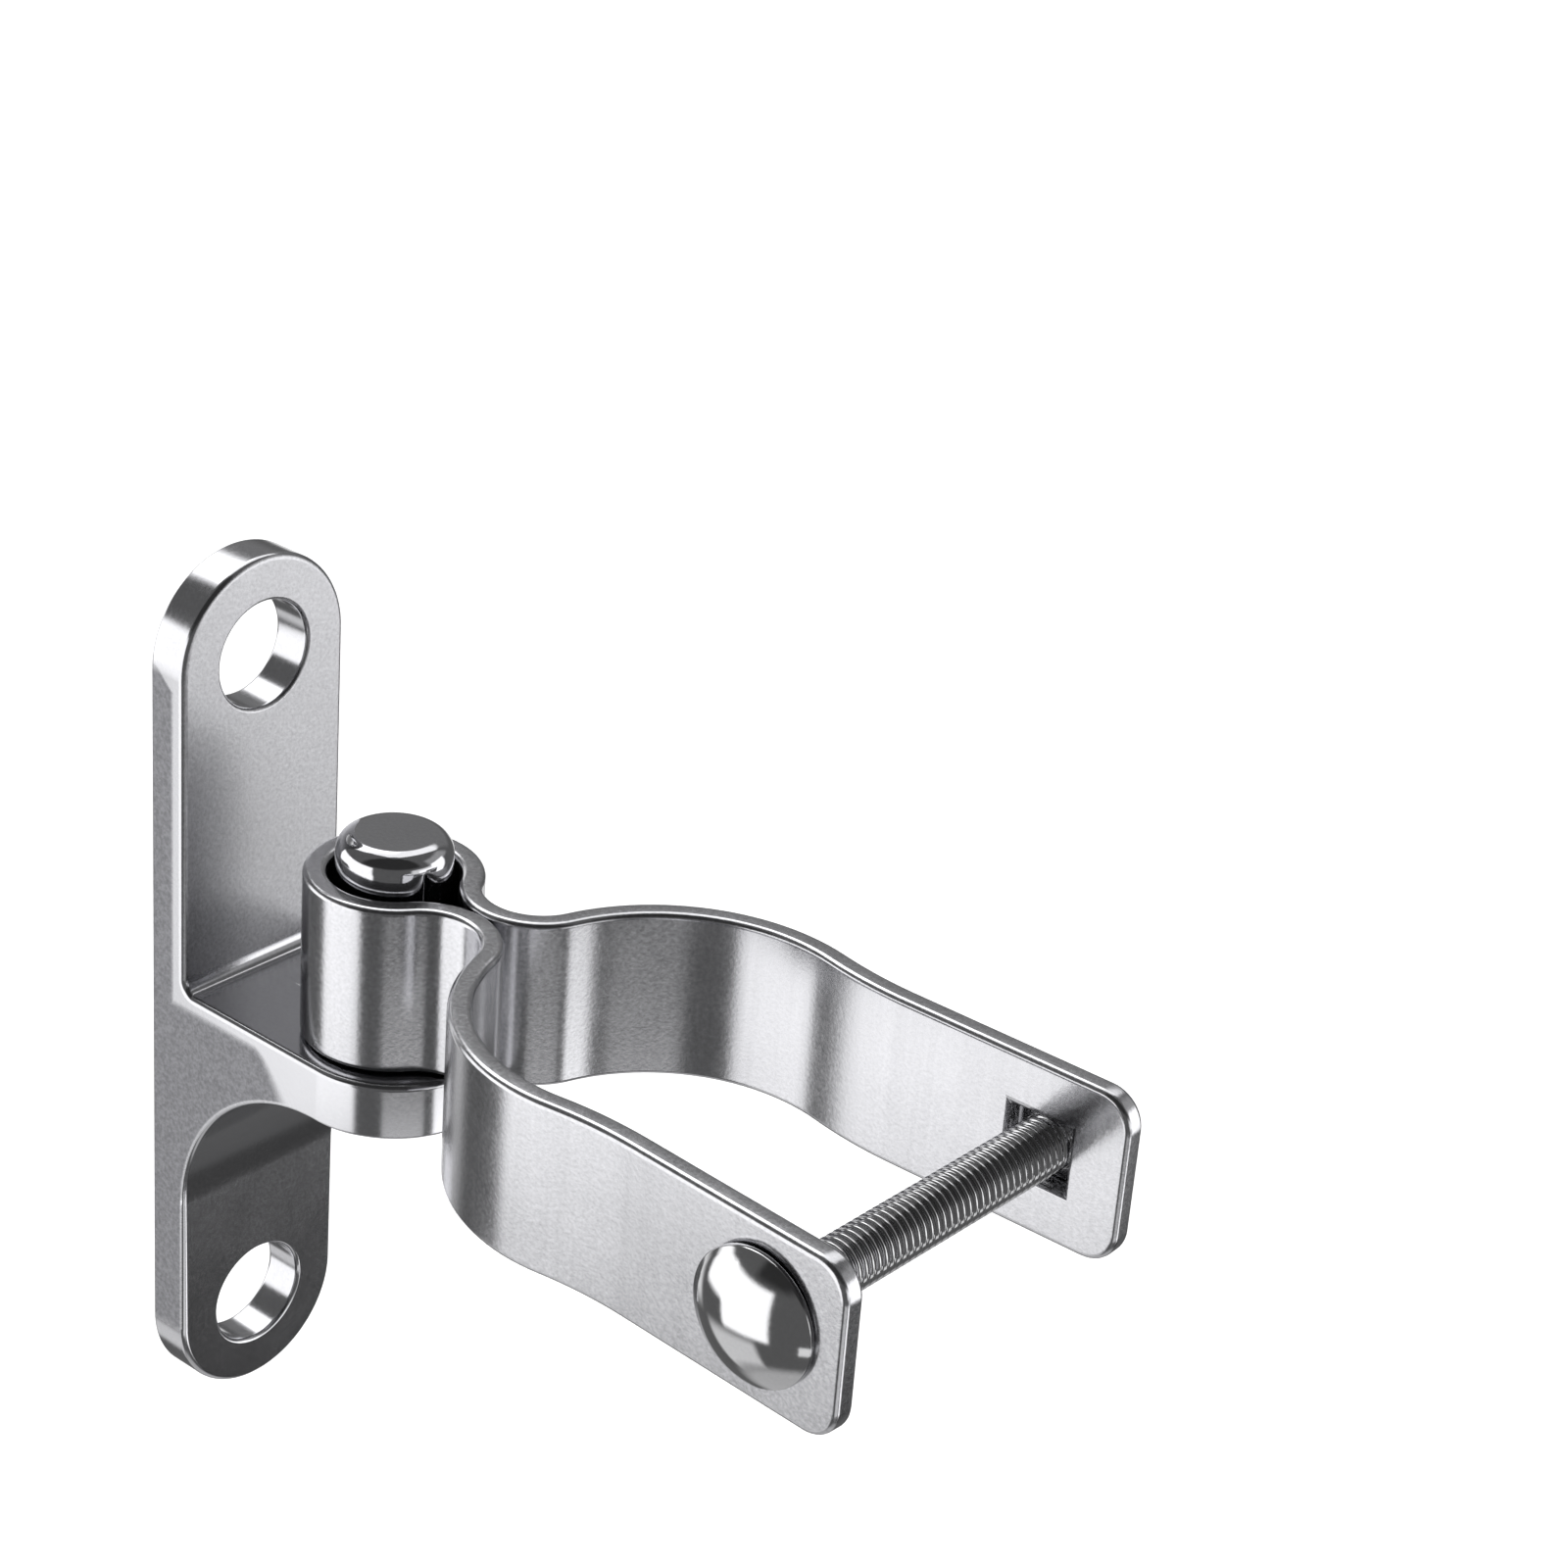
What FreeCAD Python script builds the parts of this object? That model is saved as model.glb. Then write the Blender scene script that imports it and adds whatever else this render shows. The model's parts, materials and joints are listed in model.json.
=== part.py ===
import FreeCAD, Part
import math
import os
import Sketcher
from FreeCAD import Vector

# Gate hinge: a wall plate with a cast arm and an upright pin, and a folded strap
# that hangs on the pin and clamps round the tube of a gate.
# Frame: X points out of the wall, Z is up along the pin, and the origin is on
# the back of the plate, midway between its two screw holes. Millimetres.

SIZES = [
    ("plate_width", 29.0, "width of the wall plate and of its arm"),
    ("plate_thick", 6.5, "thickness of the wall plate"),
    ("hole_spacing", 104.0, "distance between the two screw holes"),
    ("plate_hole", 15.6, "diameter of the screw holes"),
    ("hole_rim", 0.4, "chamfer of the screw holes' rims"),
    ("arm_top", 4.5, "height of the arm's top face above the middle of the plate"),
    ("arm_thick", 8.4, "thickness of the arm at the pin"),
    ("nose_ahead", 0.8, "how far the centre of the arm's round nose lies beyond the pin's axis"),
    ("arm_corner", 2.0, "fillet between the plate's front and the arm's top"),
    ("edge_round", 1.0, "rounding of the front edge above the arm and round the arm's top"),
    ("arch_edge", 0.5, "chamfer of the front edge below the arm and round the arch"),
    ("back_edge", 0.4, "chamfer of the plate's back edge"),
    ("pin_reach", 32.5, "distance of the pin's axis from the wall"),
    ("pin_dia", 16.0, "diameter of the pin"),
    ("pin_stand", 5.4, "height of the pin above the strap"),
    ("pin_shoulder", 2.7, "radius of the rounded shoulder at the pin's tip"),
    ("shoulder_angle", 55.0, "angle through which that shoulder curves inwards"),
    ("pin_rim", 0.4, "chamfer between the shoulder and the pin's flat top"),
    ("strap_lift", 0.3, "running gap between the arm and the strap"),
    ("strap_tall", 25.0, "width of the strip that the strap is folded from"),
    ("strap_thick", 3.3, "thickness of that strip"),
    ("strap_edge", 0.4, "chamfer of the strip's edges"),
    ("barrel_bore", 18.0, "inside diameter of the loop round the pin"),
    ("neck_bend", 7.5, "bend radius on the hollow side of the neck"),
    ("neck_gap", 0.3, "slit between the two strands at the neck"),
    ("tube_dia", 50.8, "diameter of the gate tube that the seat fits"),
    ("seat_angle", 10.0, "angle past its widest point where the seat's arc ends"),
    ("leg_bend", 60.0, "radius of the reverse bend from the seat into a leg"),
    ("flare_angle", 2.5, "outward angle of each leg"),
    ("strap_reach", 105.0, "distance from the pin's axis to the legs' ends"),
    ("ear_corner", 5.0, "corner radius of the legs' ends"),
    ("bolt_inset", 13.3, "distance of the bolt's axis from the legs' ends"),
    ("bolt_dia", 8.0, "outside diameter of the bolt's thread"),
    ("bolt_tail", 2.5, "length of bolt that stands out of the nut"),
    ("bolt_tip", 0.8, "chamfer at the bolt's tip"),
    ("head_dia", 18.6, "diameter of the bolt's domed head"),
    ("head_tall", 4.4, "height of the domed head"),
    ("head_rim", 0.8, "height of the head's rim under the dome"),
    ("neck_square", 8.6, "width across the bolt's square neck"),
    ("neck_tall", 4.5, "length of the square neck"),
    ("square_clear", 0.5, "gap between the square neck and its hole, each side"),
    ("nut_across", 13.0, "width across the nut's flats"),
    ("nut_tall", 6.5, "height of the nut"),
    ("nut_clear", 0.1, "gap between the thread's crests and the nut's bore"),
]

doc = FreeCAD.newDocument("gate_hinge")
sheet = doc.addObject("Spreadsheet::Sheet", "Sizes")
for row, (alias, number, meaning) in enumerate(SIZES, start=1):
    sheet.set(f"A{row}", meaning)
    sheet.set(f"B{row}", str(number))
    sheet.setAlias(f"B{row}", alias)
doc.recompute()


def size(alias):
    """The number that the sheet holds under an alias."""
    return float(sheet.get(alias))


def polar(radius, degrees, centre=(0.0, 0.0)):
    """A point of the drawing plane at an angle round a centre."""
    angle = math.radians(degrees)
    return (centre[0] + radius * math.cos(angle), centre[1] + radius * math.sin(angle))


class Drawing:
    """One sketch of a body, whose dimensions follow the sheet."""

    START, END, CENTRE = range(1, 4)
    ORIGIN = (-1, 1)
    ACROSS, UPRIGHT = -1, -2

    def __init__(self, body, name, plane):
        self.sketch = body.newObject("Sketcher::SketchObject", name)
        support = [item for item in body.Origin.OriginFeatures if item.Role == plane][0]
        self.sketch.AttachmentSupport = [(support, "")]
        self.sketch.MapMode = "FlatFace"

    def line(self, start, end, construction=False):
        edge = Part.LineSegment(Vector(*start, 0), Vector(*end, 0))
        return self.sketch.addGeometry(edge, construction)

    def circle(self, centre, radius):
        edge = Part.Circle(Vector(*centre, 0), Vector(0, 0, 1), radius)
        return self.sketch.addGeometry(edge, False)

    def arc(self, centre, radius, first, last):
        """An arc that runs anticlockwise from the first angle to the last."""
        whole = Part.Circle(Vector(*centre, 0), Vector(0, 0, 1), radius)
        edge = Part.ArcOfCircle(whole, math.radians(first), math.radians(last))
        return self.sketch.addGeometry(edge, False)

    def loop(self, points):
        """Straight lines from each point to the next, closed."""
        edges = [self.line(a, b) for a, b in zip(points, points[1:] + points[:1])]
        for edge, following in zip(edges, edges[1:] + edges[:1]):
            self.tie("Coincident", edge, self.END, following, self.START)
        return edges

    def tie(self, kind, *where):
        self.sketch.addConstraint(Sketcher.Constraint(kind, *where))

    def measure(self, expression, kind, *where):
        """A dimension that is bound to the sheet by an expression."""
        value = self.sketch.evalExpression(expression)
        number = float(getattr(value, "Value", value))
        start = math.radians(number) if kind == "Angle" else number
        index = self.sketch.addConstraint(Sketcher.Constraint(kind, *where, start))
        self.sketch.setExpression(f"Constraints[{index}]", expression)


def new_body(label, **place):
    """A body whose Placement is bound to the sheet, axis by axis."""
    body = doc.addObject("PartDesign::Body", label)
    body.Label = label
    for axis, expression in place.items():
        body.setExpression(f"Placement.Base.{axis}", expression)
    return body


def pad(body, drawing, expression, symmetric=False, reverse=False):
    feature = body.newObject("PartDesign::Pad", "Pad")
    feature.Profile = drawing.sketch
    feature.setExpression("Length", expression)
    feature.Midplane = symmetric
    feature.Reversed = reverse
    doc.recompute()
    return feature


def pocket(body, drawing):
    """Cuts right through, to both sides of the drawing."""
    before = body.Shape.Volume
    feature = body.newObject("PartDesign::Pocket", "Pocket")
    feature.Profile = drawing.sketch
    feature.Type = "ThroughAll"
    feature.Midplane = True
    doc.recompute()
    if body.Shape.Volume >= before:
        raise RuntimeError(f"{drawing.sketch.Name} cuts nothing out of {body.Label}")
    return feature


def revolve(body, drawing, axis):
    feature = body.newObject("PartDesign::Revolution", "Revolution")
    feature.Profile = drawing.sketch
    feature.ReferenceAxis = (drawing.sketch, [axis])
    feature.Angle = 360.0
    doc.recompute()
    return feature


def trim_edges(body, kind, expression, chosen):
    """A Fillet or Chamfer on the edges that a test picks, with those tangent to them."""
    base = body.Tip
    names = [f"Edge{i}" for i, edge in enumerate(base.Shape.Edges, 1) if chosen(edge)]
    if not names:
        raise RuntimeError(f"no edge to trim on {body.Label}")
    feature = body.newObject(f"PartDesign::{kind}", kind)
    feature.Base = (base, names)
    feature.setExpression("Radius" if kind == "Fillet" else "Size", expression)
    doc.recompute()
    return feature


def near(value, target):
    return abs(value - target) < 1e-4


def is_circle(edge, radius):
    return isinstance(edge.Curve, Part.Circle) and near(edge.Curve.Radius, radius)


def flat_at(edge, axis, level):
    """True if the whole edge lies at one level along an axis."""
    low = getattr(edge.BoundBox, f"{axis}Min")
    high = getattr(edge.BoundBox, f"{axis}Max")
    return near(low, level) and near(high, level)


def make_wall_plate():
    """The plate with two round ends and two holes, and the arm that grows out of it.

    The arm's sides are flush with the plate's. Its underside is one large arch
    from the plate's front to the centre of its nose, which is a half round.
    """
    body = new_body("wall_plate")
    width, thick = size("plate_width"), size("plate_thick")
    half, rise = width / 2, size("hole_spacing") / 2
    reach, top = size("pin_reach") + size("nose_ahead"), size("arm_top")
    under = top - size("arm_thick")
    arch = reach - thick

    outline = Drawing(body, "plate_outline", "YZ_Plane")
    upper = outline.arc((0, rise), half, 0, 180)
    left = outline.line((-half, rise), (-half, -rise))
    lower = outline.arc((0, -rise), half, 180, 360)
    right = outline.line((half, -rise), (half, rise))
    ring = [upper, left, lower, right, upper]
    for edge, following in zip(ring, ring[1:]):
        outline.tie("Tangent", edge, Drawing.END, following, Drawing.START)
    for edge in (upper, lower):
        outline.tie("PointOnObject", edge, Drawing.CENTRE, Drawing.UPRIGHT)
    outline.measure("Sizes.plate_width / 2", "Radius", upper)
    outline.measure("Sizes.hole_spacing / 2", "DistanceY", *Drawing.ORIGIN, upper, Drawing.CENTRE)
    outline.measure("Sizes.hole_spacing / 2", "DistanceY", lower, Drawing.CENTRE, *Drawing.ORIGIN)
    pad(body, outline, "Sizes.plate_thick")

    side = Drawing(body, "arm_side", "XZ_Plane")
    top_line = side.line((0, top), (reach, top))
    nose_line = side.line((reach, top), (reach, under))
    arch_arc = side.arc((reach, under - arch), arch, 90, 180)
    foot_line = side.line((thick, under - arch), (0, under - arch))
    wall_line = side.line((0, under - arch), (0, top))
    ring = [top_line, nose_line, arch_arc, foot_line, wall_line, top_line]
    for edge, following in zip(ring, ring[1:]):
        side.tie("Coincident", edge, Drawing.END, following, Drawing.START)
    for edge in (top_line, foot_line):
        side.tie("Horizontal", edge)
    for edge in (nose_line, wall_line):
        side.tie("Vertical", edge)
    side.tie("PointOnObject", wall_line, Drawing.END, Drawing.UPRIGHT)
    side.tie("Vertical", arch_arc, Drawing.CENTRE, arch_arc, Drawing.START)
    side.tie("Horizontal", arch_arc, Drawing.CENTRE, arch_arc, Drawing.END)
    side.measure("Sizes.arm_top", "DistanceY", *Drawing.ORIGIN, top_line, Drawing.START)
    side.measure("Sizes.pin_reach + Sizes.nose_ahead",
                 "DistanceX", *Drawing.ORIGIN, top_line, Drawing.END)
    side.measure("Sizes.arm_thick", "DistanceY", nose_line, Drawing.END, nose_line, Drawing.START)
    side.measure("Sizes.pin_reach + Sizes.nose_ahead - Sizes.plate_thick", "Radius", arch_arc)
    pad(body, side, "Sizes.plate_width", symmetric=True)

    nose = Drawing(body, "arm_nose", "XY_Plane")
    nose.sketch.setExpression("AttachmentOffset.Base.z", "Sizes.arm_top")
    disc = nose.circle((reach, 0), half)
    nose.tie("PointOnObject", disc, Drawing.CENTRE, Drawing.ACROSS)
    nose.measure("Sizes.pin_reach + Sizes.nose_ahead",
                 "DistanceX", *Drawing.ORIGIN, disc, Drawing.CENTRE)
    nose.measure("Sizes.plate_width / 2", "Radius", disc)
    pad(body, nose, "Sizes.arm_thick", reverse=True)

    seat = Drawing(body, "pin_hole", "XY_Plane")
    bore = seat.circle((size("pin_reach"), 0), size("pin_dia") / 2)
    seat.tie("PointOnObject", bore, Drawing.CENTRE, Drawing.ACROSS)
    seat.measure("Sizes.pin_reach", "DistanceX", *Drawing.ORIGIN, bore, Drawing.CENTRE)
    seat.measure("Sizes.pin_dia / 2", "Radius", bore)
    pocket(body, seat)

    holes = Drawing(body, "screw_holes", "YZ_Plane")
    for height in (rise, -rise):
        hole = holes.circle((0, height), size("plate_hole") / 2)
        ends = (*Drawing.ORIGIN, hole, Drawing.CENTRE)
        if height < 0:
            ends = (hole, Drawing.CENTRE, *Drawing.ORIGIN)
        holes.tie("PointOnObject", hole, Drawing.CENTRE, Drawing.UPRIGHT)
        holes.measure("Sizes.hole_spacing / 2", "DistanceY", *ends)
        holes.measure("Sizes.plate_hole / 2", "Radius", hole)
    pocket(body, holes)

    trim_edges(body, "Fillet", "Sizes.arm_corner",
               lambda edge: flat_at(edge, "X", thick) and flat_at(edge, "Z", top))
    trim_edges(body, "Fillet", "Sizes.edge_round",
               lambda edge: is_circle(edge, half) and flat_at(edge, "X", thick)
               and edge.CenterOfMass.z > 0)
    trim_edges(body, "Chamfer", "Sizes.arch_edge",
               lambda edge: is_circle(edge, half) and flat_at(edge, "X", thick)
               and edge.CenterOfMass.z < 0)
    trim_edges(body, "Chamfer", "Sizes.back_edge",
               lambda edge: is_circle(edge, half) and flat_at(edge, "X", 0))
    trim_edges(body, "Chamfer", "Sizes.hole_rim",
               lambda edge: is_circle(edge, size("plate_hole") / 2))
    return body


def make_hinge_pin():
    """The round pin, pressed through the arm, with a rounded shoulder and a flat top."""
    body = new_body("hinge_pin", x="Sizes.pin_reach", z="Sizes.arm_top - Sizes.arm_thick")
    radius, shoulder, angle = size("pin_dia") / 2, size("pin_shoulder"), size("shoulder_angle")
    height = (size("arm_thick") + size("strap_lift") + size("strap_tall")
              + size("pin_stand"))
    centre = (radius - shoulder, height - shoulder * math.sin(math.radians(angle)))
    rim = polar(shoulder, angle, centre)

    half = Drawing(body, "pin_half", "XZ_Plane")
    foot = half.line((0, 0), (radius, 0))
    shank = half.line((radius, 0), (radius, centre[1]))
    curve = half.arc(centre, shoulder, 0, angle)
    crown = half.line(rim, (0, height))
    axis = half.line((0, height), (0, 0))
    for kind, part, following in (("Coincident", axis, foot), ("Coincident", foot, shank),
                                  ("Tangent", shank, curve), ("Coincident", curve, crown),
                                  ("Coincident", crown, axis)):
        half.tie(kind, part, Drawing.END, following, Drawing.START)
    for part in (foot, crown):
        half.tie("Horizontal", part)
    for part in (shank, axis):
        half.tie("Vertical", part)
    spoke = half.line(centre, rim, construction=True)
    half.tie("Coincident", spoke, Drawing.START, curve, Drawing.CENTRE)
    half.tie("Coincident", spoke, Drawing.END, curve, Drawing.END)
    half.tie("Coincident", foot, Drawing.START, *Drawing.ORIGIN)
    half.measure("Sizes.pin_dia / 2", "DistanceX", foot, Drawing.START, foot, Drawing.END)
    half.measure("Sizes.pin_shoulder", "Radius", curve)
    half.measure("Sizes.shoulder_angle * 1 deg", "Angle", spoke)
    half.measure("Sizes.arm_thick + Sizes.strap_lift + Sizes.strap_tall + Sizes.pin_stand",
                 "DistanceY", axis, Drawing.END, axis, Drawing.START)
    revolve(body, half, "V_Axis")
    trim_edges(body, "Chamfer", "Sizes.pin_rim", lambda edge: is_circle(edge, rim[0]))
    return body


def tangent_arcs():
    """Where the arcs of the strap's half plan meet, from the pin's axis outwards.

    The outer faces of the loop and the seat both touch the neck's arc, which keeps
    the two strands apart by the slit. The seat's outer face runs past its widest
    point into the reverse bend, and that bend into the straight leg.
    """
    thick, neck = size("strap_thick"), size("neck_bend")
    loop_out = size("barrel_bore") / 2 + thick
    seat_out = size("tube_dia") / 2 + thick
    high = size("neck_gap") / 2 + thick + neck
    neck_centre = (math.sqrt((loop_out + neck) ** 2 - high ** 2), high)
    neck_lean = math.degrees(math.asin(high / (loop_out + neck)))
    seat_lean = math.degrees(math.asin(high / (seat_out + neck)))
    seat_centre = (neck_centre[0] + math.sqrt((seat_out + neck) ** 2 - high ** 2), 0.0)
    bend_centre = polar(seat_out + size("leg_bend"), 90 - size("seat_angle"), seat_centre)
    leg_start = polar(size("leg_bend"), size("flare_angle") - 90, bend_centre)
    return neck_centre, neck_lean, seat_lean, seat_centre, bend_centre, leg_start


def make_clamp_strap():
    """The strap, folded from one strip: a loop, a neck, a tube seat and two legs.

    One half of its plan is drawn as a chain of tangent arcs and a straight leg,
    once for each face of the strip, and is mirrored across the middle.
    """
    body = new_body("clamp_strap", x="Sizes.pin_reach", z="Sizes.arm_top + Sizes.strap_lift")
    thick, tall = size("strap_thick"), size("strap_tall")
    bore, seat = size("barrel_bore") / 2, size("tube_dia") / 2
    neck, bend = size("neck_bend"), size("leg_bend")
    turn, flare = size("seat_angle"), size("flare_angle")
    neck_centre, neck_lean, seat_lean, seat_centre, bend_centre, leg_start = tangent_arcs()
    leg_run = (size("strap_reach") - leg_start[0]) / math.cos(math.radians(flare))
    leg_end = polar(leg_run, flare, leg_start)

    plan = Drawing(body, "strap_half", "XY_Plane")

    def face(depth):
        """The chain of edges on one face of the strip, from the loop to the leg's end."""
        loop = plan.arc((0, 0), bore + thick - depth, neck_lean, 180)
        hollow = plan.arc(neck_centre, neck + depth, neck_lean - 180, -seat_lean)
        belly = plan.arc(seat_centre, seat + thick - depth, 90 - turn, 180 - seat_lean)
        sweep = plan.arc(bend_centre, bend + depth, 270 - turn, 270 + flare)
        leg = plan.line(polar(depth, flare - 90, leg_start), polar(depth, flare - 90, leg_end))
        plan.tie("Tangent", loop, Drawing.START, hollow, Drawing.START)
        plan.tie("Tangent", hollow, Drawing.END, belly, Drawing.END)
        plan.tie("Tangent", belly, Drawing.START, sweep, Drawing.START)
        plan.tie("Tangent", sweep, Drawing.END, leg, Drawing.START)
        plan.tie("PointOnObject", loop, Drawing.END, Drawing.ACROSS)
        return loop, hollow, belly, sweep, leg

    outer = face(0)
    inner = face(thick)
    loop, hollow, belly, sweep, leg = outer
    for edge, parallel in zip(outer[:4], inner[:4]):
        plan.tie("Coincident", edge, Drawing.CENTRE, parallel, Drawing.CENTRE)
    plan.tie("Coincident", loop, Drawing.CENTRE, *Drawing.ORIGIN)
    plan.tie("PointOnObject", belly, Drawing.CENTRE, Drawing.ACROSS)
    fold = plan.line((-bore - thick, 0), (-bore, 0))
    cut = plan.line(leg_end, polar(thick, flare - 90, leg_end))
    for edge, ends in ((fold, (outer[0], inner[0])), (cut, (outer[4], inner[4]))):
        plan.tie("Coincident", edge, Drawing.START, ends[0], Drawing.END)
        plan.tie("Coincident", edge, Drawing.END, ends[1], Drawing.END)
    plan.tie("Perpendicular", cut, leg)
    spoke = plan.line(seat_centre, bend_centre, construction=True)
    plan.tie("Coincident", spoke, Drawing.START, belly, Drawing.CENTRE)
    plan.tie("Coincident", spoke, Drawing.END, sweep, Drawing.CENTRE)

    plan.measure("Sizes.barrel_bore / 2", "Radius", inner[0])
    plan.measure("Sizes.barrel_bore / 2 + Sizes.strap_thick", "Radius", loop)
    plan.measure("Sizes.neck_bend", "Radius", hollow)
    plan.measure("Sizes.neck_gap / 2 + Sizes.strap_thick + Sizes.neck_bend",
                 "DistanceY", *Drawing.ORIGIN, hollow, Drawing.CENTRE)
    plan.measure("Sizes.tube_dia / 2", "Radius", inner[2])
    plan.measure("Sizes.leg_bend", "Radius", sweep)
    plan.measure("(90 - Sizes.seat_angle) * 1 deg", "Angle", spoke)
    plan.measure("Sizes.flare_angle * 1 deg", "Angle", leg)
    plan.measure("Sizes.strap_reach", "DistanceX", *Drawing.ORIGIN, leg, Drawing.END)
    pad(body, plan, "Sizes.strap_tall")

    mirrored = body.newObject("PartDesign::Mirrored", "Mirrored")
    mirrored.Originals = [body.Tip]
    middle = [item for item in body.Origin.OriginFeatures if item.Role == "XZ_Plane"][0]
    mirrored.MirrorPlane = (middle, [""])
    body.Tip = mirrored
    doc.recompute()

    window = Drawing(body, "bolt_holes", "XZ_Plane")
    side = size("neck_square") + 2 * size("square_clear")
    middle_x, middle_z = size("strap_reach") - size("bolt_inset"), tall / 2
    corners = [(middle_x + sx * side / 2, middle_z + sz * side / 2)
               for sx, sz in ((-1, -1), (1, -1), (1, 1), (-1, 1))]
    low, right, high, left = window.loop(corners)
    for edge in (low, high):
        window.tie("Horizontal", edge)
    for edge in (left, right):
        window.tie("Vertical", edge)
    across = "Sizes.neck_square + 2 * Sizes.square_clear"
    window.measure(across, "DistanceX", low, Drawing.START, low, Drawing.END)
    window.measure(across, "DistanceY", right, Drawing.START, right, Drawing.END)
    window.measure("Sizes.strap_reach - Sizes.bolt_inset - Sizes.neck_square / 2"
                   " - Sizes.square_clear", "DistanceX", *Drawing.ORIGIN, low, Drawing.START)
    window.measure("Sizes.strap_tall / 2 - Sizes.neck_square / 2 - Sizes.square_clear",
                   "DistanceY", *Drawing.ORIGIN, low, Drawing.START)
    pocket(body, window)

    trim_edges(body, "Fillet", "Sizes.ear_corner",
               lambda edge: near(edge.Length, thick) and edge.CenterOfMass.x > corners[1][0]
               and (flat_at(edge, "Z", 0) or flat_at(edge, "Z", tall)))
    trim_edges(body, "Chamfer", "Sizes.strap_edge",
               lambda edge: flat_at(edge, "Z", tall)
               and (is_circle(edge, seat) or is_circle(edge, seat + thick)))
    return body


def bolt_seat():
    """Distance of the bolt's head and nut from the middle, where they first touch a leg.

    The legs lean outward, so a flat face that is square to the bolt meets a leg
    at its rim on the side of the leg's end.
    """
    leg_start = tangent_arcs()[-1]
    rim = size("strap_reach") - size("bolt_inset") + size("head_dia") / 2
    return leg_start[1] + (rim - leg_start[0]) * math.tan(math.radians(size("flare_angle")))


def make_carriage_bolt():
    """The bolt with its domed head, square neck and round shank, along the Y axis."""
    body = new_body("carriage_bolt", x="Sizes.pin_reach + Sizes.strap_reach - Sizes.bolt_inset",
                    z="Sizes.arm_top + Sizes.strap_lift + Sizes.strap_tall / 2")
    seat = bolt_seat()
    body.Placement.Base.y = -seat
    radius, rim, dome = size("head_dia") / 2, size("head_rim"), size("head_tall") - size("head_rim")
    shank, tip = size("bolt_dia") / 2, size("bolt_tip")
    length = 2 * seat + size("nut_tall") + size("bolt_tail")
    ball = (radius ** 2 + dome ** 2) / (2 * dome)
    lean = math.degrees(math.asin(radius / ball))

    half = Drawing(body, "bolt_half", "XY_Plane")
    crown = half.arc((0, ball - rim - dome), ball, 270, 270 + lean)
    edge = half.line((radius, -rim), (radius, 0))
    under = half.line((radius, 0), (shank, 0))
    rod = half.line((shank, 0), (shank, length - tip))
    chamfer = half.line((shank, length - tip), (shank - tip, length))
    end = half.line((shank - tip, length), (0, length))
    axis = half.line((0, length), (0, -rim - dome))
    ring = [crown, edge, under, rod, chamfer, end, axis, crown]
    for part, following in zip(ring, ring[1:]):
        half.tie("Coincident", part, Drawing.END, following, Drawing.START)
    for part in (under, end):
        half.tie("Horizontal", part)
    for part in (edge, rod, axis):
        half.tie("Vertical", part)
    half.tie("PointOnObject", axis, Drawing.END, Drawing.UPRIGHT)
    half.tie("PointOnObject", crown, Drawing.CENTRE, Drawing.UPRIGHT)
    half.tie("PointOnObject", under, Drawing.START, Drawing.ACROSS)
    half.measure("Sizes.head_dia / 2", "DistanceX", *Drawing.ORIGIN, under, Drawing.START)
    half.measure("Sizes.bolt_dia / 2", "DistanceX", *Drawing.ORIGIN, under, Drawing.END)
    half.measure("Sizes.head_rim", "DistanceY", edge, Drawing.START, edge, Drawing.END)
    half.measure("Sizes.head_tall", "DistanceY", axis, Drawing.END, *Drawing.ORIGIN)
    half.measure("Sizes.bolt_tip", "DistanceX", chamfer, Drawing.END, chamfer, Drawing.START)
    half.measure("Sizes.bolt_tip", "DistanceY", chamfer, Drawing.START, chamfer, Drawing.END)
    half.sketch.addConstraint(Sketcher.Constraint("DistanceY", *Drawing.ORIGIN, end, Drawing.END,
                                                  length))
    revolve(body, half, "V_Axis")

    square = Drawing(body, "neck_square", "XZ_Plane")
    reach = size("neck_square") / 2
    low, right, high, left = square.loop([(-reach, -reach), (reach, -reach), (reach, reach),
                                          (-reach, reach)])
    for part in (low, high):
        square.tie("Horizontal", part)
    for part in (left, right):
        square.tie("Vertical", part)
    square.tie("Symmetric", low, Drawing.START, right, Drawing.END, *Drawing.ORIGIN)
    square.measure("Sizes.neck_square", "DistanceX", low, Drawing.START, low, Drawing.END)
    square.measure("Sizes.neck_square", "DistanceY", right, Drawing.START, right, Drawing.END)
    pad(body, square, "Sizes.neck_tall", reverse=True)
    return body


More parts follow.
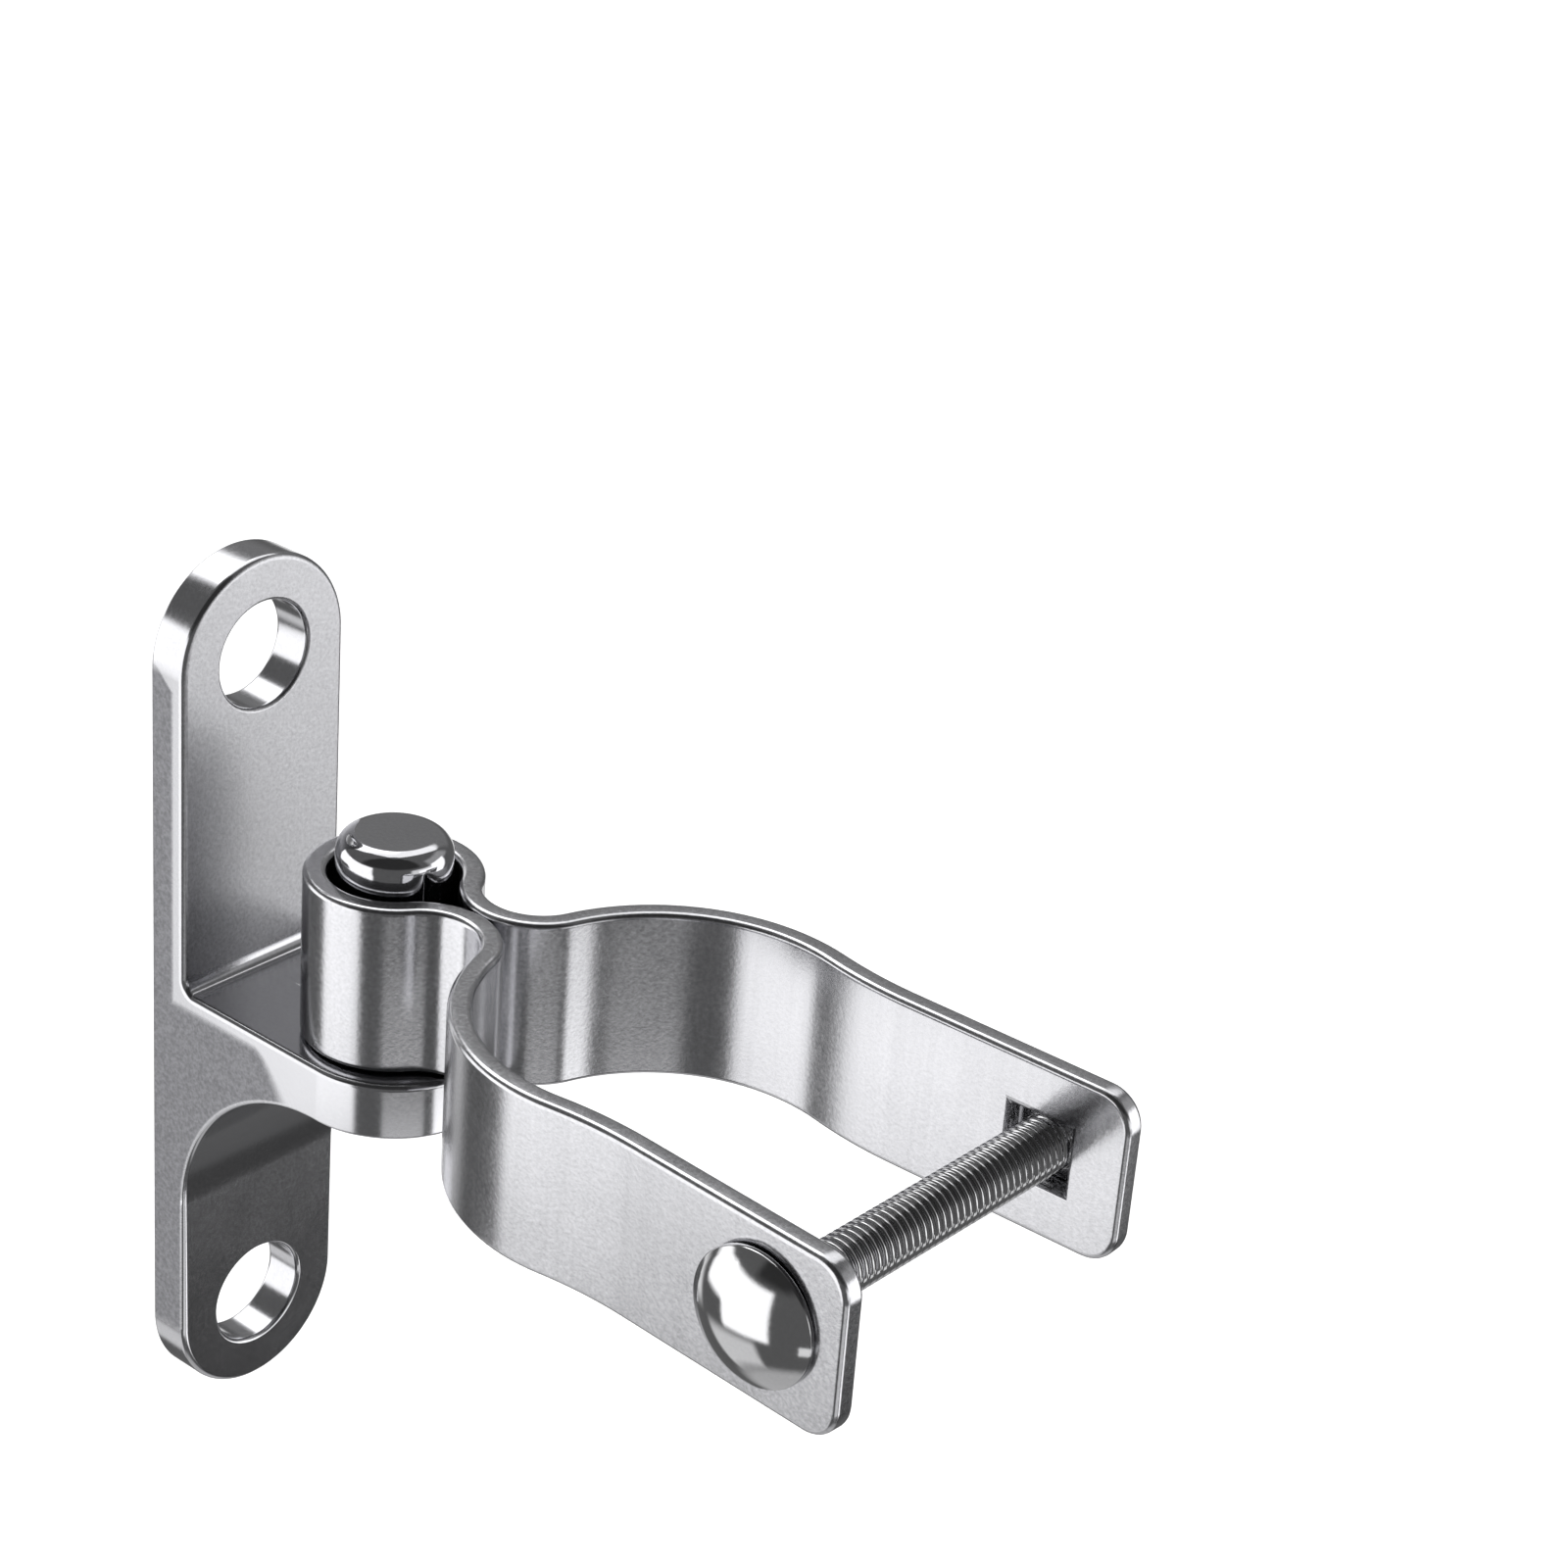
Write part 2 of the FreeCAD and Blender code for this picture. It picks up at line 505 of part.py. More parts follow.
def make_hex_nut():
    """The nut behind the far leg, with both ends chamfered all round."""
    body = new_body("hex_nut", x="Sizes.pin_reach + Sizes.strap_reach - Sizes.bolt_inset",
                    z="Sizes.arm_top + Sizes.strap_lift + Sizes.strap_tall / 2")
    body.Placement.Base.y = bolt_seat()
    flat, tall = size("nut_across") / 2, size("nut_tall")
    corner = flat / math.cos(math.radians(30))

    ring = Drawing(body, "nut_outline", "XZ_Plane")
    sides = ring.loop([polar(corner, 30 + 60 * k) for k in range(6)])
    pitch = ring.circle((0, 0), corner)
    bore = ring.circle((0, 0), size("bolt_dia") / 2 + size("nut_clear"))
    ring.sketch.setConstruction(pitch, True)
    for rim in (pitch, bore):
        ring.tie("Coincident", rim, Drawing.CENTRE, *Drawing.ORIGIN)
    for side in sides:
        ring.tie("PointOnObject", side, Drawing.START, pitch)
    for side in sides[1:]:
        ring.tie("Equal", sides[0], side)
    ring.tie("Vertical", sides[2])
    ring.measure("Sizes.nut_across / 2 / cos(30 deg)", "Radius", pitch)
    ring.measure("Sizes.bolt_dia / 2 + Sizes.nut_clear", "Radius", bore)
    pad(body, ring, "Sizes.nut_tall", reverse=True)

    trim = Drawing(body, "nut_chamfer", "XY_Plane")
    beyond = 1.2 * corner
    fall = (beyond - flat) * math.tan(math.radians(30))
    for level, inward in ((0, 1), (tall, -1)):
        trim.loop([(flat, level), (beyond, level), (beyond, level + inward * fall)])
    groove = body.newObject("PartDesign::Groove", "Groove")
    groove.Profile = trim.sketch
    groove.ReferenceAxis = (trim.sketch, ["V_Axis"])
    groove.Angle = 360.0
    doc.recompute()
    return body


def check(bodies):
    """Stops on any object that failed, and on a piece that is not one valid solid."""
    for item in doc.Objects:
        if {"Invalid", "Error"} & set(item.State):
            raise RuntimeError(f"{item.Name} is {item.State}")
    for body in bodies:
        shape = body.Shape
        if shape.isNull() or not shape.isValid() or len(shape.Solids) != 1:
            raise RuntimeError(f"{body.Label} is not one valid solid")


pieces = [make_wall_plate(), make_hinge_pin(), make_clamp_strap(), make_carriage_bolt(),
          make_hex_nut()]
doc.recompute()
check(pieces)
os.makedirs("parts", exist_ok=True)
for piece in pieces:
    piece.Shape.exportStep(f"parts/{piece.Label}.step")
    box = piece.Shape.BoundBox
    print(piece.Label, round(piece.Shape.Volume), "mm3",
          [round(v, 2) for v in (box.XMin, box.XMax, box.YMin, box.YMax, box.ZMin, box.ZMax)])
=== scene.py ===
"""Gate hinge: a wall plate with an arm and a pin, and a folded strap that clamps a gate's tube.

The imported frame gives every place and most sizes. This file gives the hinge its
rounded edges, its rolled thread, its steels and a plain studio.
"""

import json
import math

import bmesh
import bpy
from bpy.props import FloatProperty, FloatVectorProperty, IntProperty, PointerProperty
from mathutils import Matrix, Vector


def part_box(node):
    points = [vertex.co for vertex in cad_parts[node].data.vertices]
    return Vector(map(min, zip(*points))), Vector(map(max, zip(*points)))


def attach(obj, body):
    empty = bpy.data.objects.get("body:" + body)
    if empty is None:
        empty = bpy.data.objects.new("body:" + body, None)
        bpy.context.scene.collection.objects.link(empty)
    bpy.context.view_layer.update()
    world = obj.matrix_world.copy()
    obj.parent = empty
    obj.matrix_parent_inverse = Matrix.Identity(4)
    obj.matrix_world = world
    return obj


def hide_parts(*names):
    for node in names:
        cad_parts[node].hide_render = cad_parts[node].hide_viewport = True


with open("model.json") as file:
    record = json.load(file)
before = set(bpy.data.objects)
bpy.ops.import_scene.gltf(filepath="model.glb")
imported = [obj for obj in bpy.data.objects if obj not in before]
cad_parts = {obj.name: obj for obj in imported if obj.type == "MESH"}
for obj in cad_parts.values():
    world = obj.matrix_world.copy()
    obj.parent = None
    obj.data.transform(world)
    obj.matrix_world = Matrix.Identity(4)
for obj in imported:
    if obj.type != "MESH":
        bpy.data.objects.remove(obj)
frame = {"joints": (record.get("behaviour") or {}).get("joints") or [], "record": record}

bl_info = {
    "name": "Gate hinge",
    "version": (1, 0, 0),
    "blender": (4, 5, 0),
    "location": "3D View > Sidebar > Hinge",
    "description": "Builds a steel gate hinge with a tube clamp, and the studio round it",
    "category": "Add Mesh",
}

MM = 0.001
MOUNTS = {mount["name"]: mount for mount in frame["record"]["mounts"]}
JOINT = frame["joints"][0]
PLATE_LOW, PLATE_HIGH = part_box("wall_plate")
PIN_LOW, PIN_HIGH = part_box("hinge_pin")
STRAP_LOW, STRAP_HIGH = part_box("clamp_strap")
BOLT_LOW, BOLT_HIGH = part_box("carriage_bolt")
NUT_LOW, NUT_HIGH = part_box("hex_nut")
PIN_X, PIN_Y = JOINT["pos_m"][0], JOINT["pos_m"][1]
BOLT_X = (BOLT_LOW.x + BOLT_HIGH.x) / 2
BOLT_Z = (BOLT_LOW.z + BOLT_HIGH.z) / 2

# The studio's light by direction. The room is dim, the floor sends light up from below
# an elevation that fades between two angles, and each soft box has the azimuth of its
# middle, half its width, its lower and upper edge, the softness of its edges, all in
# degrees, and its strength. A box of negative strength is a black flag, which takes
# light away.
ROOM_LIGHT, FLOOR_LIGHT = 0.14, 0.6
FLOOR_LIGHT_FADE = (-72, -58)
SOFT_BOXES = (
    (-23, 27, -34, 17, 3, 1.65),
    (-62, 14, -16, 17, 3, 1.65),
    (-45, 32, -62, -38, 5, 0.75),
    (58, 23, -42, -32, 1.5, 0.95),
    (104, 12, -42, -31, 1.5, 2.0),
    (105, 13, -32, 5, 2, 0.7),
    (100, 22, -12, 12, 4, 0.9),
    (136, 15, -27, 18, 4, 1.85),
    (142, 25, 12, 42, 6, 0.3),
    (-107, 27, 38, 60, 5, 1.7),
    (-135, 45, 10, 45, 8, 0.1),
    (-135, 50, 40, 86, 4, 1.4),
    (-105, 18, -32, 24, 5, 0.9),
    (-135, 20, -40, -8, 5, 0.9),
    (38, 60, 22, 88, 6, -0.1),
    (133, 14, -56, -33, 2, -0.07),
)

# The steels: the grain, the wide uneven patches, the faint upright marks, and how much
# of the grain's depth is left where a coarse surface was polished.
GRAIN_SIZE, PATCH_SIZE = 0.55 * MM, 9 * MM
MARK_WIDTH, MARK_LENGTH = 1.1 * MM, 45 * MM
POLISHED_RELIEF = 0.15

# The polished bands on the plate's sides. The arm's band is ARM_BAND wide at the plate
# and gains ARM_BAND_GAIN arm thicknesses between two shares of the arm's reach. Near a
# round end, from END_START before it, the bands close by END_CLOSES of the way into it.
# Each pair is where a soft step starts and ends.
ARM_BAND, ARM_BAND_GAIN = 2.2 * MM, 1.5
ARM_BAND_GROWS = (0.62, 0.97)
ARM_BAND_EDGE = (0.7, 1.4)
FRONT_BAND_EDGE = (-0.4 * MM, 0.4 * MM)
ARCH_BAND_EDGE = (0.2, 0.4)
END_START, END_CLOSES = 2 * MM, 1.1
END_FADE = (3.5 * MM, 1.5 * MM)

# The coarse steels start this deep under the plate's side, front and back, and are full
# at the second depth. The grain shows in their colours by the two strengths.
SIDE_DEPTH = (0.12 * MM, 0.02 * MM)
FRONT_DEPTH = (0.3 * MM, 0.05 * MM)
BACK_DEPTH = (0.3 * MM, 0.05 * MM)
FACE_SPECKLE, SKIN_SPECKLE = 1.6, 3.0

# The number of faces round each of these. The nut's is a multiple of 6, so that each of
# its corners has a point.
HOLE_STEPS, NOSE_STEPS, ARCH_STEPS, BOLT_STEPS, NUT_STEPS = 96, 64, 48, 64, 96
DOME_STEPS = 20

# The plate's rounding leaves corners flatter than FLAT_CORNER alone, and blends from the
# arch's width to the front edge's over ARCH_BLEND. Cuts leave slivers up to SLIVER long.
FLAT_CORNER = math.radians(35)
ARCH_BLEND = 8 * MM
SLIVER = 0.03 * MM
NEAR = 0.02

# Bends of the strip wider than this are folded in steps of 1 degree, others in 3.
WIDE_BEND = 40 * MM

# The bolt: the roundings of the head's rim, the neck's chamfer and how square it is, the
# thread's flank as a share of half a ridge, and its welding distance.
RIM_ROUND, RIM_FOOT_ROUND = 0.45 * MM, 0.3 * MM
NECK_CHAMFER, NECK_END = 0.5 * MM, 0.93
SQUARENESS = 10
FLANK = (0.2, 0.75)
WELD = 0.004 * MM

# The nut: its play round the thread, the flat ring of each end as a share of the nut's
# width, and the rounding of its edges.
NUT_PLAY, NUT_RING, NUT_ROUND = 0.1 * MM, 0.97, 0.15 * MM

SENSOR_WIDTH = 36.0


def length(name, default, description, low=0.0):
    """A length in metres that the sidebar shows in the scene's own unit."""
    return FloatProperty(name=name, description=description, default=default, min=low,
                         precision=5, unit="LENGTH", subtype="DISTANCE")


def steel_colour(name, default, description):
    return FloatVectorProperty(name=name, description=description, default=default, size=3,
                               min=0.0, max=1.0, subtype="COLOR")


def share(name, default, description):
    return FloatProperty(name=name, description=description, default=default, min=0.0, max=1.0,
                         subtype="FACTOR")


class HingePlateSizes(bpy.types.PropertyGroup):
    thickness: length("Plate thickness", 6.5 * MM, "Thickness of the wall plate")
    hole_spacing: length("Hole spacing", MOUNTS["wall_holes"]["dims"]["spacing_y_mm"] * MM,
                         "Distance between the two screw holes")
    hole_radius: length("Hole radius", MOUNTS["wall_holes"]["dims"]["hole_r_mm"] * MM,
                        "Radius of the screw holes")
    arm_top: length("Arm height", 4.5 * MM, "Height of the arm's top above the plate's middle")
    arm_thick: length("Arm thickness", 8.4 * MM, "Thickness of the arm at the pin")
    arm_fillet: length("Arm fillet", 2.0 * MM, "Fillet between the plate and the arm's top")
    front_round: length("Front rounding", 0.9 * MM,
                        "Rounding of the front edge and of the arm's top edge")
    arch_round: length("Arch rounding", 0.5 * MM, "Rounding of the edges along the arch")
    back_round: length("Back rounding", 0.45 * MM, "Rounding of the back edge")
    skin_band: length("Polished band", 2.3 * MM,
                      "Width of the polished band on the sides, beside the front edge")
    hole_round: length("Hole rounding", 0.7 * MM, "Rounding of the screw holes' rims")


class HingePinSizes(bpy.types.PropertyGroup):
    shoulder: length("Shoulder radius", 2.8 * MM, "Radius of the rounded shoulder at the tip")
    foot_round: length("Foot rounding", 0.3 * MM, "Rounding of the pin's lower edge")
    ring_steps: IntProperty(name="Ring steps", default=96, min=24,
                            description="Faces round the pin")


class HingeStrapSizes(bpy.types.PropertyGroup):
    thickness: length("Strip thickness", 3.3 * MM, "Thickness of the folded strip")
    bore: length("Loop bore", 18.0 * MM, "Inside diameter of the loop round the pin")
    neck_bend: length("Neck bend", 7.5 * MM, "Bend radius on the hollow side of the neck")
    neck_gap: length("Neck gap", 0.3 * MM, "Slit between the two strands at the neck")
    seat_radius: length("Seat radius", MOUNTS["tube_seat"]["dims"]["r_mm"] * MM,
                        "Inside radius of the tube's seat")
    seat_turn: FloatProperty(name="Seat turn", default=math.radians(10), unit="ROTATION",
                             subtype="ANGLE", description="Where the seat's arc ends")
    leg_bend: length("Leg bend", 60.0 * MM, "Radius of the reverse bend into a leg")
    leg_flare: FloatProperty(name="Leg flare", default=math.radians(2.5), unit="ROTATION",
                             subtype="ANGLE", description="Outward angle of each leg")
    reach: length("Leg reach", 105.0 * MM, "Distance from the pin's axis to the legs' ends")
    ear_corner: length("Corner radius", 5.0 * MM, "Corner radius of the legs' ends")
    window: length("Square hole", 9.6 * MM, "Width of the square holes in the legs")
    edge_round: length("Edge rounding", 0.85 * MM, "Rounding of the strip's edges")


class HingeBoltSizes(bpy.types.PropertyGroup):
    head_rim: length("Head rim", 0.8 * MM, "Height of the rim under the dome")
    head_tall: length("Head height", 4.4 * MM, "Height of the domed head")
    neck_square: length("Square neck", 8.6 * MM, "Width across the square neck")
    neck_tall: length("Neck length", 4.5 * MM, "Length of the square neck")
    thread_diameter: length("Thread diameter", 8.0 * MM, "Outside diameter of the thread")
    pitch: length("Thread pitch", 1.25 * MM, "Distance between two ridges")
    groove: length("Thread depth", 0.62 * MM, "Depth of the thread's groove")
    tip: length("Tip chamfer", 0.8 * MM, "Chamfer at the bolt's tip")
    nut_across: length("Nut width", 13.0 * MM, "Width across the nut's flats")


class HingeFinish(bpy.types.PropertyGroup):
    steel: steel_colour("Steel", (0.56, 0.56, 0.58), "Colour of the stainless steel")
    skin: steel_colour("Side skin", (0.27, 0.27, 0.285), "Colour of the plate's rough sides")
    bolt_steel: steel_colour("Bolt steel", (0.58, 0.58, 0.59), "Colour of the bolt and nut")
    plate_roughness: share("Plate roughness", 0.15, "Roughness of the tumbled plate")
    skin_roughness: share("Side roughness", 0.42, "Roughness of the plate's sides")
    face_roughness: share("Face roughness", 0.36, "Roughness of the plate's upper face")
    strap_roughness: share("Strap roughness", 0.2, "Roughness of the rolled strip")
    pin_roughness: share("Pin roughness", 0.07, "Roughness of the turned pin")
    bolt_roughness: share("Bolt roughness", 0.09, "Roughness of the polished bolt")


class HingeStudio(bpy.types.PropertyGroup):
    azimuth: FloatProperty(name="Camera azimuth", default=math.radians(38.04), unit="ROTATION",
                           subtype="ANGLE", description="0 looks along +Y")
    elevation: FloatProperty(name="Camera elevation", default=math.radians(27.65),
                             unit="ROTATION", subtype="ANGLE", description="Above the horizon")
    roll: FloatProperty(name="Camera roll", default=math.radians(5.1), unit="ROTATION",
                        subtype="ANGLE", description="Turn of the picture about its middle")
    distance: length("Camera distance", 548.6 * MM, "From the aim point to the camera")
    aim: FloatVectorProperty(name="Aim point", default=(60.9 * MM, 60.15 * MM, 22.4 * MM), size=3,
                             unit="LENGTH", subtype="XYZ", description="Point on the lens's axis")
    lens: FloatProperty(name="Lens", default=88.54, min=1.0, unit="CAMERA",
                        description="Focal length on a sensor 36 mm wide")
    shift: FloatVectorProperty(name="Lens shift", default=(-0.0353, 0.044), size=2,
                               description="Shift of the picture, as shares of its width")
    floor_drop: length("Floor drop", 0.12, "Distance of the floor under the hinge")
    backdrop: steel_colour("Backdrop", (0.9, 0.9, 0.9), "Colour of the floor")
    backdrop_glow: share("Backdrop glow", 0.75, "White that the camera adds to the floor")


GROUPS = (("hinge_plate", HingePlateSizes), ("hinge_pin", HingePinSizes),
          ("hinge_strap", HingeStrapSizes), ("hinge_bolt", HingeBoltSizes),
          ("hinge_finish", HingeFinish), ("hinge_studio", HingeStudio))


# Node trees

class Value:
    """One output of a node tree. Arithmetic on it adds Math nodes to the tree."""

    def __init__(self, tree, socket):
        self.tree, self.socket = tree, socket

    def __add__(self, other):
        return self.tree.math("ADD", self, other)

    def __sub__(self, other):
        return self.tree.math("SUBTRACT", self, other)

    def __rsub__(self, other):
        return self.tree.math("SUBTRACT", other, self)

    def __mul__(self, other):
        return self.tree.math("MULTIPLY", self, other)

    def __truediv__(self, other):
        return self.tree.math("DIVIDE", self, other)

    def __pow__(self, other):
        return self.tree.math("POWER", self, other)

    __radd__ = __add__
    __rmul__ = __mul__


class Tree:
    """A node tree that is written as calls."""

    def __init__(self, tree):
        self.tree = tree

    def node(self, kind, settings=None, values=None, output=0):
        """Adds a node: its settings first, then a value or a link for each socket."""
        made = self.tree.nodes.new(kind)
        for name, setting in (settings or {}).items():
            setattr(made, name, setting)
        for name, value in (values or {}).items():
            if isinstance(value, Value):
                self.tree.links.new(value.socket, made.inputs[name])
            else:
                made.inputs[name].default_value = value
        return Value(self, made.outputs[output]) if made.outputs else made

    def math(self, operation, *numbers):
        """A Math node on one or two values."""
        return self.node("ShaderNodeMath", {"operation": operation}, dict(enumerate(numbers)))

    def smooth(self, value, start, end):
        """0 before start and 1 after end, with a soft step between them."""
        return self.node("ShaderNodeMapRange", {"interpolation_type": "SMOOTHSTEP"},
                         {"Value": value, "From Min": start, "From Max": end})

    def parts(self, vector):
        """The X, Y and Z of a vector."""
        split = self.node("ShaderNodeSeparateXYZ", values={0: vector}).socket.node
        return [Value(self, output) for output in split.outputs]

    def mix(self, factor, first, second):
        """A blend of two colours."""
        return self.node("ShaderNodeMix", {"data_type": "RGBA"},
                         {0: factor, 6: first, 7: second}, output=2)


# Meshes

def mesh_object(name, bm):
    """A linked object from a bmesh, with its doubles merged and its faces outwards."""
    bmesh.ops.remove_doubles(bm, verts=bm.verts, dist=1e-7)
    bmesh.ops.recalc_face_normals(bm, faces=bm.faces)
    data = bpy.data.meshes.new(name)
    bm.to_mesh(data)
    bm.free()
    made = bpy.data.objects.new(name, data)
    bpy.context.scene.collection.objects.link(made)
    return made


def settle(obj):
    """Turns what an object's modifiers make into its plain mesh."""
    bpy.context.view_layer.update()
    graph = bpy.context.evaluated_depsgraph_get()
    result = bpy.data.meshes.new_from_object(obj.evaluated_get(graph))
    obj.modifiers.clear()
    obj.data = result
    return obj


def carve(obj, cutter):
    """Cuts one object out of another, and deletes the cutter."""
    modifier = obj.modifiers.new("Carve", "BOOLEAN")
    modifier.operation = "DIFFERENCE"
    modifier.solver = "EXACT"
    modifier.object = cutter
    settle(obj)
    bpy.data.objects.remove(cutter)


def smooth_shade(obj):
    """Smooth shading in which the large flat faces keep their own normal."""
    for polygon in obj.data.polygons:
        polygon.use_smooth = True
    weighted = obj.modifiers.new("Flats", "WEIGHTED_NORMAL")
    weighted.mode = "FACE_AREA"
    weighted.weight = 100
    settle(obj)


def hand_over(obj, material, node, body):
    """Gives a finished piece its steel, and its place in the frame."""
    obj.data.materials.clear()
    obj.data.materials.append(material)
    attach(obj, body)
    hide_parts(node)


def turned(rings, centre, steps):
    """A closed body turned about Z, from (radius, height) pairs that start and end on it."""
    bm = bmesh.new()
    rows = []
    for radius, height in rings:
        row = []
        for k in range(steps if radius else 1):
            angle = 2 * math.pi * k / steps
            place = Vector((radius * math.cos(angle), radius * math.sin(angle), height))
            row.append(bm.verts.new(place + centre))
        rows.append(row)
    for low, high in zip(rows, rows[1:]):
        for k in range(steps):
            after = (k + 1) % steps
            if len(low) == 1:
                bm.faces.new((low[0], high[after], high[k]))
            elif len(high) == 1:
                bm.faces.new((low[k], low[after], high[0]))
            else:
                bm.faces.new((low[k], low[after], high[after], high[k]))
    return bm


def arc_points(centre, radius, first, last, steps):
    """Points along an arc, both ends included, with its angles in degrees."""
    return [(centre[0] + radius * math.cos(math.radians(first + (last - first) * k / steps)),
             centre[1] + radius * math.sin(math.radians(first + (last - first) * k / steps)))
            for k in range(steps + 1)]


def rounded_corners(outline, rounding, steps=5):
    """(radius, height) pairs with the corners named in rounding rounded to a radius."""
    points = []
    for index, corner in enumerate(outline):
        radius = rounding.get(index)
        if radius is None:
            points.append(corner)
            continue
        here = Vector(corner)
        before = (Vector(outline[index - 1]) - here).normalized()
        after = (Vector(outline[index + 1]) - here).normalized()
        half = before.angle(after) / 2
        centre = here + (before + after).normalized() * radius / math.sin(half)
        start = here + before * radius / math.tan(half)
        end = here + after * radius / math.tan(half)
        first, last = (start - centre).normalized(), (end - centre).normalized()
        for k in range(steps + 1):
            points.append(tuple(centre + first.slerp(last, k / steps) * radius))
    return points


# Steels

def two_tones(colour):
    """A darker and a lighter tone of a colour, with their alpha."""
    return (tuple(0.8 * channel for channel in colour) + (1.0,),
            tuple(min(1.2 * channel, 1.0) for channel in colour) + (1.0,))


def steel(name, colour, roughness, bite=0.015 * MM, tone=0.5, uneven=0.1, streaks=0.0,
          zones=None):
    """A stainless steel with a fine grain that catches the light, and soft uneven tones.

    bite is the grain's depth, and tone and uneven are how much the colour and the
    roughness change over the surface. streaks is the strength of faint upright marks.
    zones is a function that gives (mask, colour, roughness) for each part of the
    surface that was left coarser than the rest, and there the grain bites in full.
    """
    material = bpy.data.materials.new(name)
    material.use_nodes = True
    material.node_tree.nodes.clear()
    tree = Tree(material.node_tree)
    place = tree.node("ShaderNodeTexCoord", output="Object")
    speck = tree.node("ShaderNodeTexNoise", values={
        "Vector": place, "Scale": 1 / GRAIN_SIZE, "Detail": 2.0, "Roughness": 0.6})
    patch = tree.node("ShaderNodeTexNoise", values={
        "Vector": place, "Scale": 1 / PATCH_SIZE, "Detail": 2.0, "Roughness": 0.5})
    shade = tone * (speck - 0.5) + 0.5 * tone * (patch - 0.5)
    if streaks:
        drawn = tree.node("ShaderNodeVectorMath", {"operation": "MULTIPLY"},
                          {0: place, 1: (1 / MARK_WIDTH, 1 / MARK_WIDTH, 1 / MARK_LENGTH)})
        mark = tree.node("ShaderNodeTexNoise", values={
            "Vector": drawn, "Scale": 1.0, "Detail": 2.0, "Roughness": 0.6})
        shade = shade + streaks * (mark - 0.5)
    base = tree.mix(shade + 0.5, *two_tones(colour))
    rough = roughness + uneven * (speck - 0.5) + 0.6 * uneven * (patch - 0.5)
    relief = 1.0
    if zones:
        relief = POLISHED_RELIEF
        for mask, zone_colour, zone_roughness in zones(tree, place, speck):
            base = tree.mix(mask, base, zone_colour)
            rough = rough + (zone_roughness - roughness) * mask
            relief = relief + (1 - POLISHED_RELIEF) * mask
    bump = tree.node("ShaderNodeBump", values={
        "Height": speck, "Distance": bite, "Strength": relief})
    shader = tree.node("ShaderNodeBsdfPrincipled", values={
        "Base Color": base, "Roughness": rough, "Normal": bump, "Metallic": 1.0})
    tree.node("ShaderNodeOutputMaterial", values={"Surface": shader})
    return material


